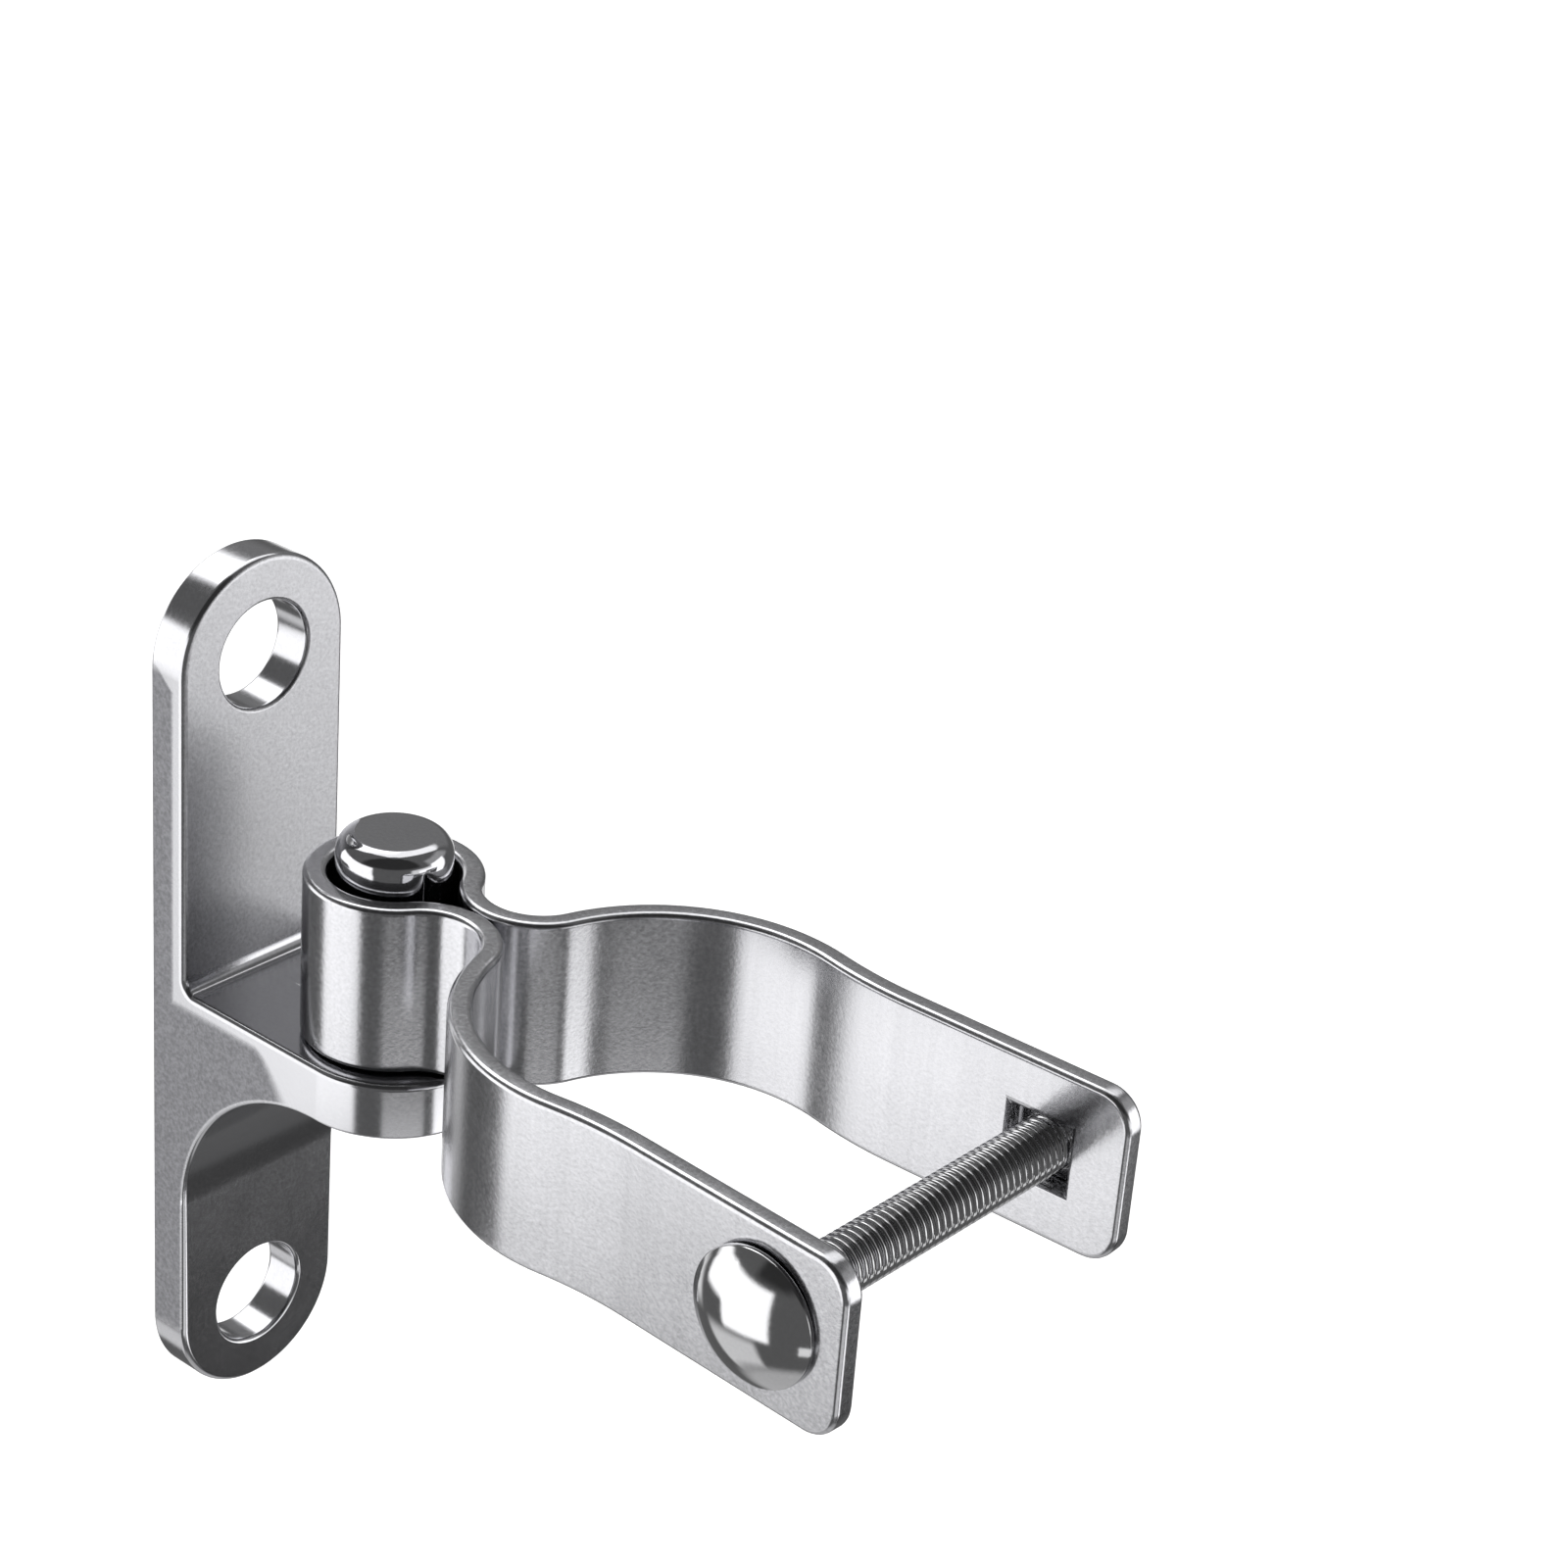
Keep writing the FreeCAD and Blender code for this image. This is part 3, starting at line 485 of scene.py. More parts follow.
class HINGE_OT_wall_plate(bpy.types.Operator):
    """Builds the wall plate with its arm, its two screw holes and its rounded edges"""
    bl_idname = "hinge.wall_plate"
    bl_label = "Wall plate and arm"

    def profile(self, sizes, crown, nose):
        """The side outline (x, z) where the plate is crown high and the arm nose long."""
        top, under = sizes.arm_top, sizes.arm_top - sizes.arm_thick
        front = sizes.thickness
        reach = PLATE_HIGH.x - PLATE_HIGH.y
        arch = reach - front
        fillet = sizes.arm_fillet
        points = [(0, -crown), (front, -crown)]
        points += arc_points((reach, under - arch), arch, 180, 90, ARCH_STEPS)
        points += [(nose, under), (nose, top)]
        points += arc_points((front + fillet, top + fillet), fillet, 270, 180, 10)
        points += [(front, crown), (0, crown)]
        return points

    def execute(self, context):
        sizes, finish = context.scene.hinge_plate, context.scene.hinge_finish
        half = PLATE_HIGH.y
        rise = sizes.hole_spacing / 2
        reach = PLATE_HIGH.x - half
        bm = bmesh.new()
        slices = []
        for k in range(NOSE_STEPS + 1):
            angle = math.pi * (k / NOSE_STEPS - 0.5)
            across, bulge = half * math.sin(angle), half * math.cos(angle)
            outline = self.profile(sizes, rise + bulge, reach + bulge)
            slices.append([bm.verts.new((x, across, z)) for x, z in outline])
        for near, far in zip(slices, slices[1:]):
            for k in range(len(near)):
                after = (k + 1) % len(near)
                bm.faces.new((near[k], near[after], far[after], far[k]))
        bm.faces.new(slices[0])
        bm.faces.new(slices[-1])
        plate = mesh_object("wall_plate_piece", bm)
        for height in (rise, -rise):
            flare = sizes.hole_radius + sizes.hole_round
            # The flare ends a hair outside each face, since a cut in a face's own plane fails.
            inset = 0.97 * sizes.hole_round
            rings = ([(0, -half), (flare, -half)]
                     + arc_points((flare, inset), sizes.hole_round, 270, 180, 5)
                     + arc_points((flare, sizes.thickness - inset), sizes.hole_round, 180, 90, 5)
                     + [(flare, half), (0, half)])
            drill = turned(rings, Vector(), HOLE_STEPS)
            bmesh.ops.rotate(drill, verts=drill.verts, matrix=Matrix.Rotation(math.pi / 2, 3, "Y"))
            bmesh.ops.translate(drill, verts=drill.verts, vec=(0, 0, height))
            carve(plate, mesh_object("drill", drill))
        seat = turned([(0, -half), (PIN_HIGH.x - PIN_X, -half), (PIN_HIGH.x - PIN_X, half),
                       (0, half)], Vector((PIN_X, PIN_Y, 0)), HOLE_STEPS)
        carve(plate, mesh_object("drill", seat))
        self.round_edges(plate, sizes, half, reach)
        smooth_shade(plate)
        material = steel("tumbled_steel", finish.steel, finish.plate_roughness,
                         zones=lambda *inputs: self.coarse_zones(sizes, finish, half, *inputs))
        hand_over(plate, material, "wall_plate", "wall_side")
        return {"FINISHED"}

    def coarse_zones(self, sizes, finish, half, tree, place, speck):
        """The straight sides, the back and the upper face keep the grain of the mould.

        On the sides a polished band runs down the front edge and along the arm's top
        edge, where it widens towards the nose. A narrow one follows the arch and the
        lower front edge.
        """
        out, across, up = tree.parts(place)
        side = tree.math("ABSOLUTE", across)
        level = tree.math("ABSOLUTE", up)
        reach = PLATE_HIGH.x - half
        arch = reach - sizes.thickness
        end = tree.math("MAXIMUM", level - (sizes.hole_spacing / 2 - END_START), 0.0)
        in_plate = sizes.thickness - sizes.skin_band - END_CLOSES * end - out
        grown = tree.smooth(out, *(part * reach for part in ARM_BAND_GROWS))
        in_arm = (sizes.arm_top - up) / (ARM_BAND + ARM_BAND_GAIN * sizes.arm_thick * grown)
        skin = tree.smooth(in_plate, *FRONT_BAND_EDGE)
        skin = tree.math("MAXIMUM", skin, tree.smooth(in_arm, *ARM_BAND_EDGE))
        rise = tree.math("MAXIMUM", up - (sizes.arm_top - sizes.arm_thick - arch), 0.0)
        from_arch = ((reach - out) ** 2.0 + rise ** 2.0) ** 0.5 - arch
        skin = (skin * tree.smooth(side, *(half - depth for depth in SIDE_DEPTH))
                * tree.smooth(end, *END_FADE)
                * tree.smooth(from_arch, *(part * sizes.skin_band for part in ARCH_BAND_EDGE)))
        skin = tree.math("MAXIMUM", skin, tree.smooth(out, *BACK_DEPTH))
        face = (tree.smooth(up, sizes.arm_top, sizes.arm_top + 2 * sizes.arm_fillet)
                * tree.smooth(out, *(sizes.thickness - depth for depth in FRONT_DEPTH)))
        rough_face = self.speckled(tree, speck, finish.steel, FACE_SPECKLE)
        rough_skin = self.speckled(tree, speck, finish.skin, SKIN_SPECKLE)
        return ((face, rough_face, finish.face_roughness),
                (skin, rough_skin, finish.skin_roughness))

    def speckled(self, tree, speck, colour, strength):
        """A colour that the grain makes lighter and darker."""
        return tree.mix((speck - 0.5) * strength + 0.5, *two_tones(colour))

    def rounding(self, edge, sizes, reach):
        """How widely an edge is rounded, as a share of the front edge's rounding.

        Flat corners, the holes' flares and the rim of the pin's hole stay as they are.
        """
        if len(edge.link_faces) != 2 or edge.calc_face_angle(0) < FLAT_CORNER:
            return 0.0
        middle = (edge.verts[0].co + edge.verts[1].co) / 2
        from_pin = math.hypot(middle.x - PIN_X, middle.y - PIN_Y)
        if from_pin < (PIN_HIGH.x - PIN_X) * (1 + NEAR):
            return 0.0
        if middle.x < sizes.thickness * NEAR:
            return sizes.back_round / sizes.front_round
        if middle.z >= sizes.arm_top - sizes.arm_thick / 2:
            return 1.0
        arch_foot = sizes.arm_top - sizes.arm_thick - reach + sizes.thickness
        below = min(max((arch_foot - middle.z) / ARCH_BLEND + 0.5, 0.0), 1.0)
        narrow = sizes.arch_round / sizes.front_round
        return narrow + (1 - narrow) * below

    def round_edges(self, plate, sizes, half, reach):
        """Rounds the front, back and arch edges, each with its own width."""
        bm = bmesh.new()
        bm.from_mesh(plate.data)
        # The cuts leave slivers and split flat faces, which would spoil the rounding.
        bmesh.ops.remove_doubles(bm, verts=bm.verts, dist=SLIVER)
        bmesh.ops.dissolve_limit(bm, angle_limit=math.radians(0.2), verts=bm.verts,
                                 edges=bm.edges)
        weight = bm.edges.layers.float.new("bevel_weight_edge")
        for edge in bm.edges:
            edge[weight] = self.rounding(edge, sizes, reach)
        bm.to_mesh(plate.data)
        bm.free()
        bevel = plate.modifiers.new("Rounding", "BEVEL")
        bevel.limit_method = "WEIGHT"
        bevel.width = sizes.front_round
        bevel.segments = 5
        bevel.use_clamp_overlap = False
        settle(plate)
        # The rounding can overshoot the sides at a corner of the fillet.
        for vert in plate.data.vertices:
            vert.co.y = max(-half, min(vert.co.y, half))


class HINGE_OT_pin(bpy.types.Operator):
    """Turns the hinge pin, with its rounded shoulder and flat top"""
    bl_idname = "hinge.pin"
    bl_label = "Hinge pin"

    def execute(self, context):
        sizes, finish = context.scene.hinge_pin, context.scene.hinge_finish
        radius = PIN_HIGH.x - PIN_X
        low, high = PIN_LOW.z, PIN_HIGH.z
        shoulder = sizes.shoulder
        foot = rounded_corners([(0, low), (radius, low), (radius, high)],
                               {1: sizes.foot_round})[:-1]
        tip = arc_points((radius - shoulder, high - shoulder), shoulder, 0, 90, 16)
        rings = foot + tip + [(0, high)]
        bm = turned(rings, Vector((PIN_X, PIN_Y, 0)), sizes.ring_steps)
        pin = mesh_object("hinge_pin_piece", bm)
        smooth_shade(pin)
        material = steel("turned_steel", finish.steel, finish.pin_roughness, bite=0.004 * MM,
                         uneven=0.05)
        hand_over(pin, material, "hinge_pin", "wall_side")
        return {"FINISHED"}


class HINGE_OT_strap(bpy.types.Operator):
    """Cuts the strap flat, with its corners and square holes, and folds it to its shape"""
    bl_idname = "hinge.strap"
    bl_label = "Clamp strap"

    def route(self, sizes):
        """Half of the strip's middle line: its arcs as (centre, radius, first, last), then the
        start point of the straight leg and its length.

        It starts behind the pin and ends at a leg's end.
        """
        thick, neck = sizes.thickness, sizes.neck_bend
        loop_out = sizes.bore / 2 + thick
        seat_out = sizes.seat_radius + thick
        high = sizes.neck_gap / 2 + thick + neck
        neck_x = math.sqrt((loop_out + neck) ** 2 - high ** 2)
        lean = math.asin(high / (loop_out + neck))
        seat_lean = math.asin(high / (seat_out + neck))
        seat_x = neck_x + math.sqrt((seat_out + neck) ** 2 - high ** 2)
        turn = math.pi / 2 - sizes.seat_turn
        bend_x = seat_x + (seat_out + sizes.leg_bend) * math.cos(turn)
        bend_y = (seat_out + sizes.leg_bend) * math.sin(turn)
        flare = sizes.leg_flare
        mid = thick / 2
        arcs = [
            ((0, 0), loop_out - mid, math.pi, lean),
            ((neck_x, high), neck + mid, lean - math.pi, -seat_lean),
            ((seat_x, 0), seat_out - mid, math.pi - seat_lean, turn),
            ((bend_x, bend_y), sizes.leg_bend + mid, turn - math.pi, flare - math.pi / 2),
        ]
        radius = sizes.leg_bend + mid
        start = (bend_x + radius * math.sin(flare), bend_y - radius * math.cos(flare))
        run = (sizes.reach - bend_x - sizes.leg_bend * math.sin(flare)) / math.cos(flare)
        return arcs, start, run

    def place(self, along, arcs, start, run, flare):
        """The point and the outward direction of the middle line, a distance along it."""
        for centre, radius, first, last in arcs:
            span = abs(last - first) * radius
            if along <= span:
                side = 1 if last < first else -1
                angle = first + (last - first) * along / span
                spoke = Vector((math.cos(angle), math.sin(angle)))
                return Vector(centre) + spoke * radius, spoke * side
            along -= span
        heading = Vector((math.cos(flare), math.sin(flare)))
        return Vector(start) + heading * along, Vector((-heading.y, heading.x))

    def execute(self, context):
        sizes, finish = context.scene.hinge_strap, context.scene.hinge_finish
        arcs, start, run = self.route(sizes)
        bent = sum(abs(last - first) * radius for _, radius, first, last in arcs)
        full = bent + run
        tall = STRAP_HIGH.z - STRAP_LOW.z
        strap = self.flat_strip(sizes, full, tall, bent)
        bm = bmesh.new()
        bm.from_mesh(strap.data)
        # The flat strip is cut across at every step of the bends, and then each of its
        # points moves to its place beside the folded line.
        stations = [0.0]
        passed = 0.0
        for _, radius, first, last in arcs:
            degrees_a_step = 3 if radius < WIDE_BEND else 1
            steps = max(6, round(math.degrees(abs(last - first)) / degrees_a_step))
            span = abs(last - first) * radius
            stations += [passed + span * (k + 1) / steps for k in range(steps)]
            passed += span
        for station in stations:
            for side in ((1, -1) if station else (1,)):
                bmesh.ops.bisect_plane(bm, geom=bm.verts[:] + bm.edges[:] + bm.faces[:],
                                       dist=1e-7, plane_co=(side * station, 0, 0),
                                       plane_no=(1, 0, 0))
        for vert in bm.verts:
            along, depth, height = vert.co
            point, outward = self.place(abs(along), arcs, start, run, sizes.leg_flare)
            spot = point + outward * depth
            vert.co = (PIN_X + spot.x, PIN_Y + math.copysign(spot.y, along),
                       STRAP_LOW.z + height)
        bm.to_mesh(strap.data)
        bm.free()
        made = bmesh.new()
        made.from_mesh(strap.data)
        bpy.data.objects.remove(strap)
        strap = mesh_object("clamp_strap_piece", made)
        smooth_shade(strap)
        material = steel("rolled_steel", finish.steel, finish.strap_roughness, bite=0.009 * MM,
                         tone=1.0, streaks=0.35)
        hand_over(strap, material, "clamp_strap", "gate_side")
        return {"FINISHED"}

    def flat_strip(self, sizes, full, tall, bent):
        """The strip before it is folded: x along it, y through it, z up, edges rounded."""
        corner, thick = sizes.ear_corner, sizes.thickness
        outline = []
        for x, z, first in ((full, 0, 270), (full, tall, 0), (-full, tall, 90), (-full, 0, 180)):
            centre = (x - math.copysign(corner, x), corner if z == 0 else tall - corner)
            outline += arc_points(centre, corner, first, first + 90, 12)
        bm = bmesh.new()
        near = [bm.verts.new((x, -thick / 2, z)) for x, z in outline]
        far = [bm.verts.new((x, thick / 2, z)) for x, z in outline]
        bm.faces.new(near)
        bm.faces.new(far)
        for k in range(len(outline)):
            after = (k + 1) % len(outline)
            bm.faces.new((near[k], near[after], far[after], far[k]))
        strip = mesh_object("strip", bm)
        leg = (BOLT_X - PIN_X - (sizes.reach - (full - bent) * math.cos(sizes.leg_flare)))
        hole = bent + leg / math.cos(sizes.leg_flare)
        for side in (1, -1):
            punch = bmesh.new()
            bmesh.ops.create_cube(punch, size=sizes.window)
            bmesh.ops.translate(punch, verts=punch.verts, vec=(side * hole, 0, tall / 2))
            carve(strip, mesh_object("punch", punch))
        bevel = strip.modifiers.new("Rounding", "BEVEL")
        bevel.limit_method = "ANGLE"
        bevel.angle_limit = math.radians(40)
        bevel.width = sizes.edge_round
        bevel.segments = 4
        bevel.use_clamp_overlap = False
        return settle(strip)


class HINGE_OT_bolt(bpy.types.Operator):
    """Builds the carriage bolt: domed head, square neck and rolled thread"""
    bl_idname = "hinge.bolt"
    bl_label = "Carriage bolt"

    def head(self, sizes, steps):
        """The head and the square neck, open where the thread begins.

        Heights are along the bolt, from the head's underside, with the same number
        of points on every ring, so that the round and square rings join.
        """
        radius = (BOLT_HIGH.x - BOLT_LOW.x) / 2
        rim, dome = sizes.head_rim, sizes.head_tall - sizes.head_rim
        ball = (radius ** 2 + dome ** 2) / (2 * dome)
        lean = math.degrees(math.asin(radius / ball))
        crown = [(ball * math.sin(math.radians(lean * k / DOME_STEPS)),
                  ball * math.cos(math.radians(lean * k / DOME_STEPS)) - ball + sizes.head_tall)
                 for k in range(1, DOME_STEPS - 1)]
        edge = rounded_corners([crown[-1], (radius, rim), (radius, 0.0), (radius * 0.9, 0.0)],
                               {1: RIM_ROUND, 2: RIM_FOOT_ROUND}, steps=4)[1:]
        bm = bmesh.new()
        rows = [[bm.verts.new((0, -sizes.head_tall, 0))]]
        angles = [2 * math.pi * k / steps for k in range(steps)]
        for ring, height in crown + edge:
            rows.append([bm.verts.new((ring * math.cos(a), -height, ring * math.sin(a)))
                         for a in angles])
        flat = sizes.neck_square / 2
        thread = sizes.thread_diameter / 2 - sizes.groove
        for width, height in ((1.0, 0.0), (1.0, sizes.neck_tall - NECK_CHAMFER),
                              (NECK_END, sizes.neck_tall)):
            row = []
            for a in angles:
                corner = (abs(math.cos(a)) ** SQUARENESS
                          + abs(math.sin(a)) ** SQUARENESS) ** (-1 / SQUARENESS)
                row.append(bm.verts.new((flat * width * corner * math.cos(a), height,
                                         flat * width * corner * math.sin(a))))
            rows.append(row)
        rows.append([bm.verts.new((thread * math.cos(a), sizes.neck_tall, thread * math.sin(a)))
                     for a in angles])
        for low, high in zip(rows, rows[1:]):
            for k in range(steps):
                after = (k + 1) % steps
                if len(low) == 1:
                    bm.faces.new((low[0], high[k], high[after]))
                else:
                    bm.faces.new((low[k], high[k], high[after], low[after]))
        return mesh_object("carriage_bolt_piece", bm)

    def thread_tree(self, material):
        """Geometry nodes that wind a thread from the open end of the neck to the tip.

        A grid is rolled into a screw: its rows climb by one pitch a turn, so that each
        ridge is an unbroken row of edges, and the radius swings between root and crest.
        """
        group = bpy.data.node_groups.new("Rolled thread", "GeometryNodeTree")
        group.interface.new_socket("Geometry", in_out="INPUT",
                                   socket_type="NodeSocketGeometry")
        for name, kind in (("Start", "Float"), ("Length", "Float"), ("Pitch", "Float"),
                           ("Crest radius", "Float"), ("Root radius", "Float"),
                           ("Tip chamfer", "Float"), ("Steps round", "Int"),
                           ("Steps along a ridge", "Int")):
            group.interface.new_socket(name, in_out="INPUT", socket_type=f"NodeSocket{kind}")
        group.interface.new_socket("Geometry", in_out="OUTPUT",
                                   socket_type="NodeSocketGeometry")
        tree = Tree(group)
        given = tree.node("NodeGroupInput").socket.node

        def size(name):
            return Value(tree, given.outputs[name])

        pitch, crest, root = size("Pitch"), size("Crest radius"), size("Root radius")
        start, span = size("Start"), size("Length")
        round_steps, ridge_steps = size("Steps round"), size("Steps along a ridge")
        turns = tree.math("CEIL", span / pitch) + 2
        grid = tree.node("GeometryNodeMeshGrid", values={
            "Size X": 1.0, "Size Y": 1.0, "Vertices X": turns * ridge_steps + 1,
            "Vertices Y": round_steps + 1})
        across, along, _ = tree.parts(tree.node("GeometryNodeInputPosition"))
        turn = along + 0.5
        row = (across + 0.5) * turns
        # The screw starts a turn and a half before the neck's end, and what lies before it
        # is pressed flat against it.
        climb = (row + turn - 1.5) * pitch
        level = tree.math("MAXIMUM", tree.math("MINIMUM", climb, span), 0.0)
        swing = tree.math("PINGPONG", row, 0.5) * 2
        ridge = tree.smooth(swing, *FLANK)
        radius = root + (crest - root) * ridge
        cap = crest - size("Tip chamfer") * tree.smooth(level, span - size("Tip chamfer"), span)
        ends = tree.smooth(level, 0.0, 0.5 * pitch)
        radius = tree.math("MINIMUM", radius, cap) * ends + root * (1 - ends)
        angle = turn * (2 * math.pi)
        spot = tree.node("ShaderNodeCombineXYZ", values={
            0: radius * tree.math("COSINE", angle), 1: level + start,
            2: radius * tree.math("SINE", angle)})
        screw = tree.node("GeometryNodeSetPosition", values={"Geometry": grid, "Position": spot})
        joined = tree.node("GeometryNodeJoinGeometry")
        group.links.new(Value(tree, given.outputs["Geometry"]).socket,
                        joined.socket.node.inputs[0])
        group.links.new(screw.socket, joined.socket.node.inputs[0])
        merged = tree.node("GeometryNodeMergeByDistance", values={
            "Geometry": joined, "Distance": WELD})
        real = tree.node("GeometryNodeRealizeInstances", values={"Geometry": merged})
        steeled = tree.node("GeometryNodeSetMaterial", values={
            "Geometry": real, "Material": material})
        tree.node("NodeGroupOutput", values={"Geometry": steeled})
        return group

    def execute(self, context):
        sizes, finish = context.scene.hinge_bolt, context.scene.hinge_finish
        material = steel("bolt_steel", finish.bolt_steel, finish.bolt_roughness, bite=0.003 * MM,
                         tone=0.3, uneven=0.04)
        bolt = self.head(sizes, BOLT_STEPS)
        group = self.thread_tree(material)
        modifier = bolt.modifiers.new("Thread", "NODES")
        modifier.node_group = group
        total = BOLT_HIGH.y - BOLT_LOW.y - sizes.head_tall
        settings = {
            "Start": sizes.neck_tall, "Length": total - sizes.neck_tall, "Pitch": sizes.pitch,
            "Crest radius": sizes.thread_diameter / 2,
            "Root radius": sizes.thread_diameter / 2 - sizes.groove,
            "Tip chamfer": sizes.tip, "Steps round": BOLT_STEPS, "Steps along a ridge": 8,
        }
        for item in group.interface.items_tree:
            if item.in_out == "INPUT" and item.name in settings:
                modifier[item.identifier] = settings[item.name]
        settle(bolt)
        bm = bmesh.new()
        bm.from_mesh(bolt.data)
        bpy.data.objects.remove(bolt)
        # The thread's tip is still open here.
        open_edges = [edge for edge in bm.edges if edge.is_boundary]
        if open_edges:
            bmesh.ops.holes_fill(bm, edges=open_edges, sides=0)
        bmesh.ops.translate(bm, verts=bm.verts,
                            vec=(BOLT_X, BOLT_LOW.y + sizes.head_tall, BOLT_Z))
        bolt = mesh_object("carriage_bolt_piece", bm)
        smooth_shade(bolt)
        hand_over(bolt, material, "carriage_bolt", "gate_side")
        return {"FINISHED"}


class HINGE_OT_nut(bpy.types.Operator):
    """Builds the hexagon nut, chamfered at both ends"""
    bl_idname = "hinge.nut"
    bl_label = "Hexagon nut"

    def execute(self, context):
        sizes, finish = context.scene.hinge_bolt, context.scene.hinge_finish
        flat = sizes.nut_across / 2
        tall = NUT_HIGH.y - NUT_LOW.y
        bore = sizes.thread_diameter / 2 + NUT_PLAY
        ring = NUT_RING * flat
        bm = bmesh.new()
        rows = []
        for kind in ("bore_low", "low", "side_low", "side_high", "high", "bore_high"):
            row = []
            for k in range(NUT_STEPS):
                angle = 2 * math.pi * k / NUT_STEPS
                within = (angle + math.pi / 6) % (math.pi / 3) - math.pi / 6
                reach = flat / math.cos(within)
                fall = (reach - ring) * math.tan(math.radians(30))
                radius, level = {
                    "bore_low": (bore, 0.0), "low": (ring, 0.0),
                    "side_low": (reach, fall), "side_high": (reach, tall - fall),
                    "high": (ring, tall), "bore_high": (bore, tall)}[kind]
                row.append(bm.verts.new((BOLT_X + radius * math.cos(angle), NUT_LOW.y + level,
                                         BOLT_Z + radius * math.sin(angle))))
            rows.append(row)
        for low, high in zip(rows, rows[1:] + rows[:1]):
            for k in range(NUT_STEPS):
                after = (k + 1) % NUT_STEPS
                bm.faces.new((low[k], low[after], high[after], high[k]))
        nut = mesh_object("hex_nut_piece", bm)
        bevel = nut.modifiers.new("Rounding", "BEVEL")
        bevel.limit_method = "ANGLE"
        bevel.angle_limit = math.radians(25)
        bevel.width = NUT_ROUND
        bevel.segments = 2
        settle(nut)
        smooth_shade(nut)
        material = steel("nut_steel", finish.bolt_steel, finish.bolt_roughness + 0.06,
                         bite=0.005 * MM)
        hand_over(nut, material, "hex_nut", "gate_side")
        return {"FINISHED"}


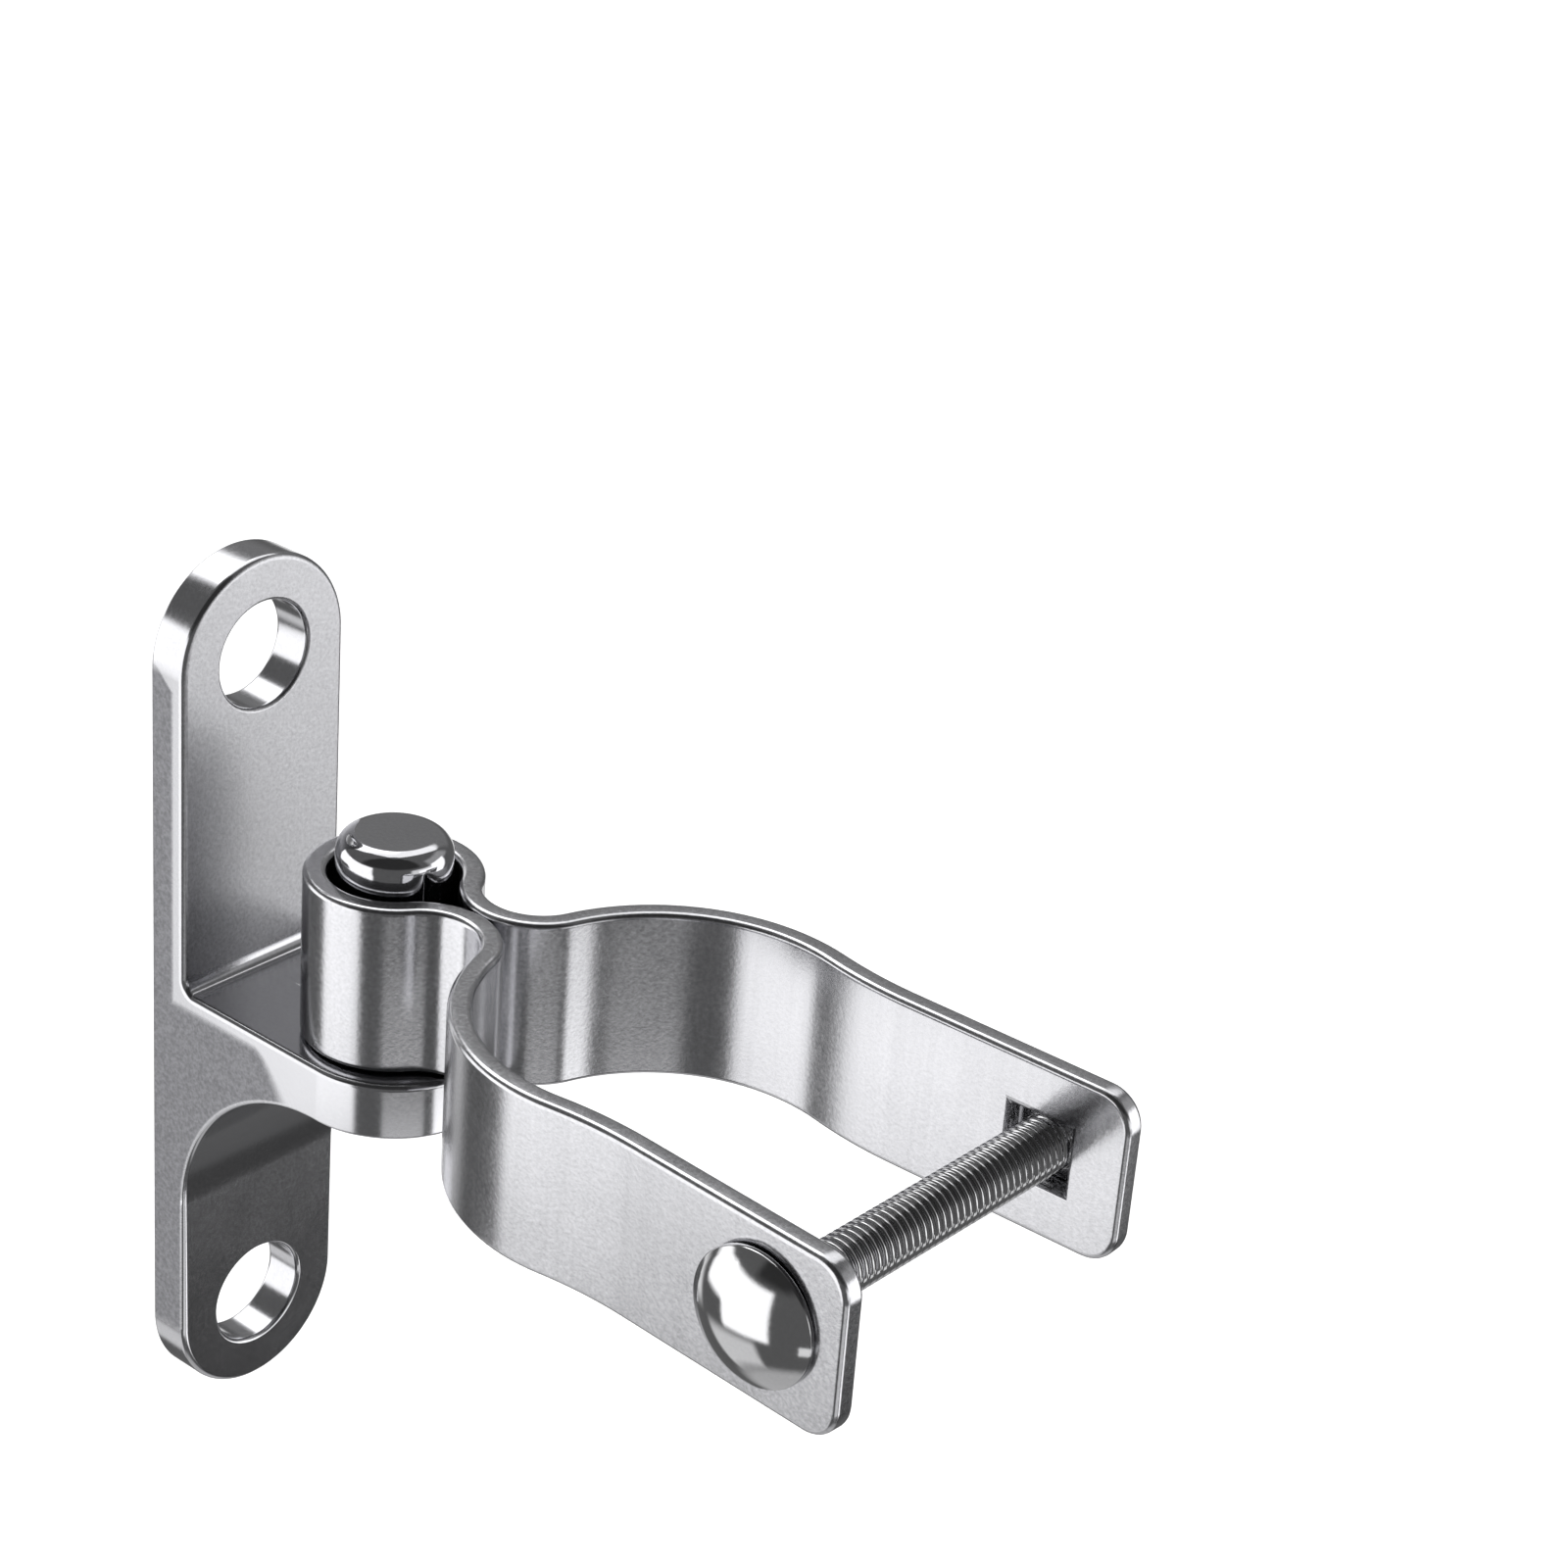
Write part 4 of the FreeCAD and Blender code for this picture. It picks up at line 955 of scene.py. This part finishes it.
class HINGE_OT_studio(bpy.types.Operator):
    """Sets the pale floor, the soft boxes and the camera"""
    bl_idname = "hinge.studio"
    bl_label = "Studio"

    def execute(self, context):
        studio = context.scene.hinge_studio
        context.scene.view_settings.view_transform = "Standard"
        self.floor(studio)
        self.surroundings(context)
        self.camera(context, studio)
        return {"FINISHED"}

    def floor(self, studio):
        level = min(PLATE_LOW.z, PIN_LOW.z) - studio.floor_drop
        bm = bmesh.new()
        bmesh.ops.create_grid(bm, x_segments=1, y_segments=1, size=6.0,
                              matrix=Matrix.Translation((0, 0, level)))
        floor = mesh_object("studio_floor", bm)
        material = bpy.data.materials.new("floor")
        material.use_nodes = True
        material.node_tree.nodes.clear()
        tree = Tree(material.node_tree)
        colour = tuple(studio.backdrop) + (1.0,)
        matt = tree.node("ShaderNodeBsdfDiffuse", values={"Color": colour})
        seen = tree.node("ShaderNodeLightPath", output="Is Camera Ray")
        glow = tree.node("ShaderNodeEmission", values={
            "Color": (1, 1, 1, 1), "Strength": seen * studio.backdrop_glow})
        shader = tree.node("ShaderNodeAddShader", values={0: matt, 1: glow})
        tree.node("ShaderNodeOutputMaterial", values={"Surface": shader})
        floor.data.materials.append(material)
        floor.visible_glossy = False

    def surroundings(self, context):
        """A studio of soft boxes round a grey room, and white where the camera looks."""
        world = bpy.data.worlds.new("studio")
        context.scene.world = world
        world.use_nodes = True
        world.node_tree.nodes.clear()
        tree = Tree(world.node_tree)
        x, y, z = tree.parts(tree.node("ShaderNodeTexCoord", output="Generated"))
        flat = (x * x + y * y + 1e-6) ** 0.5
        low_z, high_z = (math.sin(math.radians(level)) for level in FLOOR_LIGHT_FADE)
        light = ROOM_LIGHT + (FLOOR_LIGHT - ROOM_LIGHT) * (1 - tree.smooth(z, low_z, high_z))
        for azimuth, half, low, high, soft, strength in SOFT_BOXES:
            a = math.radians(azimuth)
            facing = (x * math.sin(a) - y * math.cos(a)) / flat
            outer = math.cos(math.radians(min(half + soft, 180)))
            inner = math.cos(math.radians(half - soft))
            edges = [math.sin(math.radians(max(min(level + step, 90), -90)))
                     for level in (low, high) for step in (-soft, soft)]
            mask = tree.smooth(facing, outer, inner) * tree.smooth(z, *edges[:2])
            if high < 90:
                mask = mask * (1 - tree.smooth(z, *edges[2:]))
            light = light + strength * mask
        room = tree.node("ShaderNodeBackground", values={
            "Color": (1, 1, 1, 1), "Strength": light})
        white = tree.node("ShaderNodeBackground", values={
            "Color": (1, 1, 1, 1), "Strength": 1.0})
        seen = tree.node("ShaderNodeLightPath", output="Is Camera Ray")
        shader = tree.node("ShaderNodeMixShader", values={0: seen, 1: room, 2: white})
        tree.node("ShaderNodeOutputWorld", values={"Surface": shader})

    def camera(self, context, studio):
        """The camera at the photograph's place: azimuth, elevation and a slight roll."""
        a, e, roll = studio.azimuth, studio.elevation, studio.roll
        back = Vector((math.sin(a) * math.cos(e), -math.cos(a) * math.cos(e), math.sin(e)))
        right = Vector((math.cos(a), math.sin(a), 0))
        up = back.cross(right)
        turned_right = right * math.cos(roll) + up * math.sin(roll)
        turned_up = up * math.cos(roll) - right * math.sin(roll)
        lens = bpy.data.cameras.new("camera")
        lens.sensor_width = SENSOR_WIDTH
        lens.lens = studio.lens
        lens.shift_x, lens.shift_y = studio.shift
        camera = bpy.data.objects.new("camera", lens)
        context.scene.collection.objects.link(camera)
        turn = Matrix((turned_right, turned_up, back)).transposed()
        place = Vector(studio.aim) + back * studio.distance
        camera.matrix_world = Matrix.Translation(place) @ turn.to_4x4()
        context.scene.camera = camera


class HINGE_PT_panel(bpy.types.Panel):
    """Lists the hinge's pieces and sizes"""
    bl_label = "Gate hinge"
    bl_idname = "HINGE_PT_panel"
    bl_space_type = "VIEW_3D"
    bl_region_type = "UI"
    bl_category = "Hinge"

    def draw(self, context):
        for operator in OPERATORS:
            self.layout.operator(operator.bl_idname)
        for name, group in GROUPS:
            box = self.layout.box()
            for prop in group.__annotations__:
                box.prop(getattr(context.scene, name), prop)


OPERATORS = (HINGE_OT_wall_plate, HINGE_OT_pin, HINGE_OT_strap, HINGE_OT_bolt, HINGE_OT_nut,
             HINGE_OT_studio)


def register():
    for name, group in GROUPS:
        bpy.utils.register_class(group)
        setattr(bpy.types.Scene, name, PointerProperty(type=group))
    for item in OPERATORS + (HINGE_PT_panel,):
        bpy.utils.register_class(item)


def unregister():
    for item in reversed(OPERATORS + (HINGE_PT_panel,)):
        bpy.utils.unregister_class(item)
    for name, group in reversed(GROUPS):
        delattr(bpy.types.Scene, name)
        bpy.utils.unregister_class(group)


def main():
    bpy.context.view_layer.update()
    register()
    bpy.ops.hinge.wall_plate()
    bpy.ops.hinge.pin()
    bpy.ops.hinge.strap()
    bpy.ops.hinge.bolt()
    bpy.ops.hinge.nut()
    bpy.ops.hinge.studio()
    bpy.context.view_layer.update()


if __name__ == "__main__":
    main()
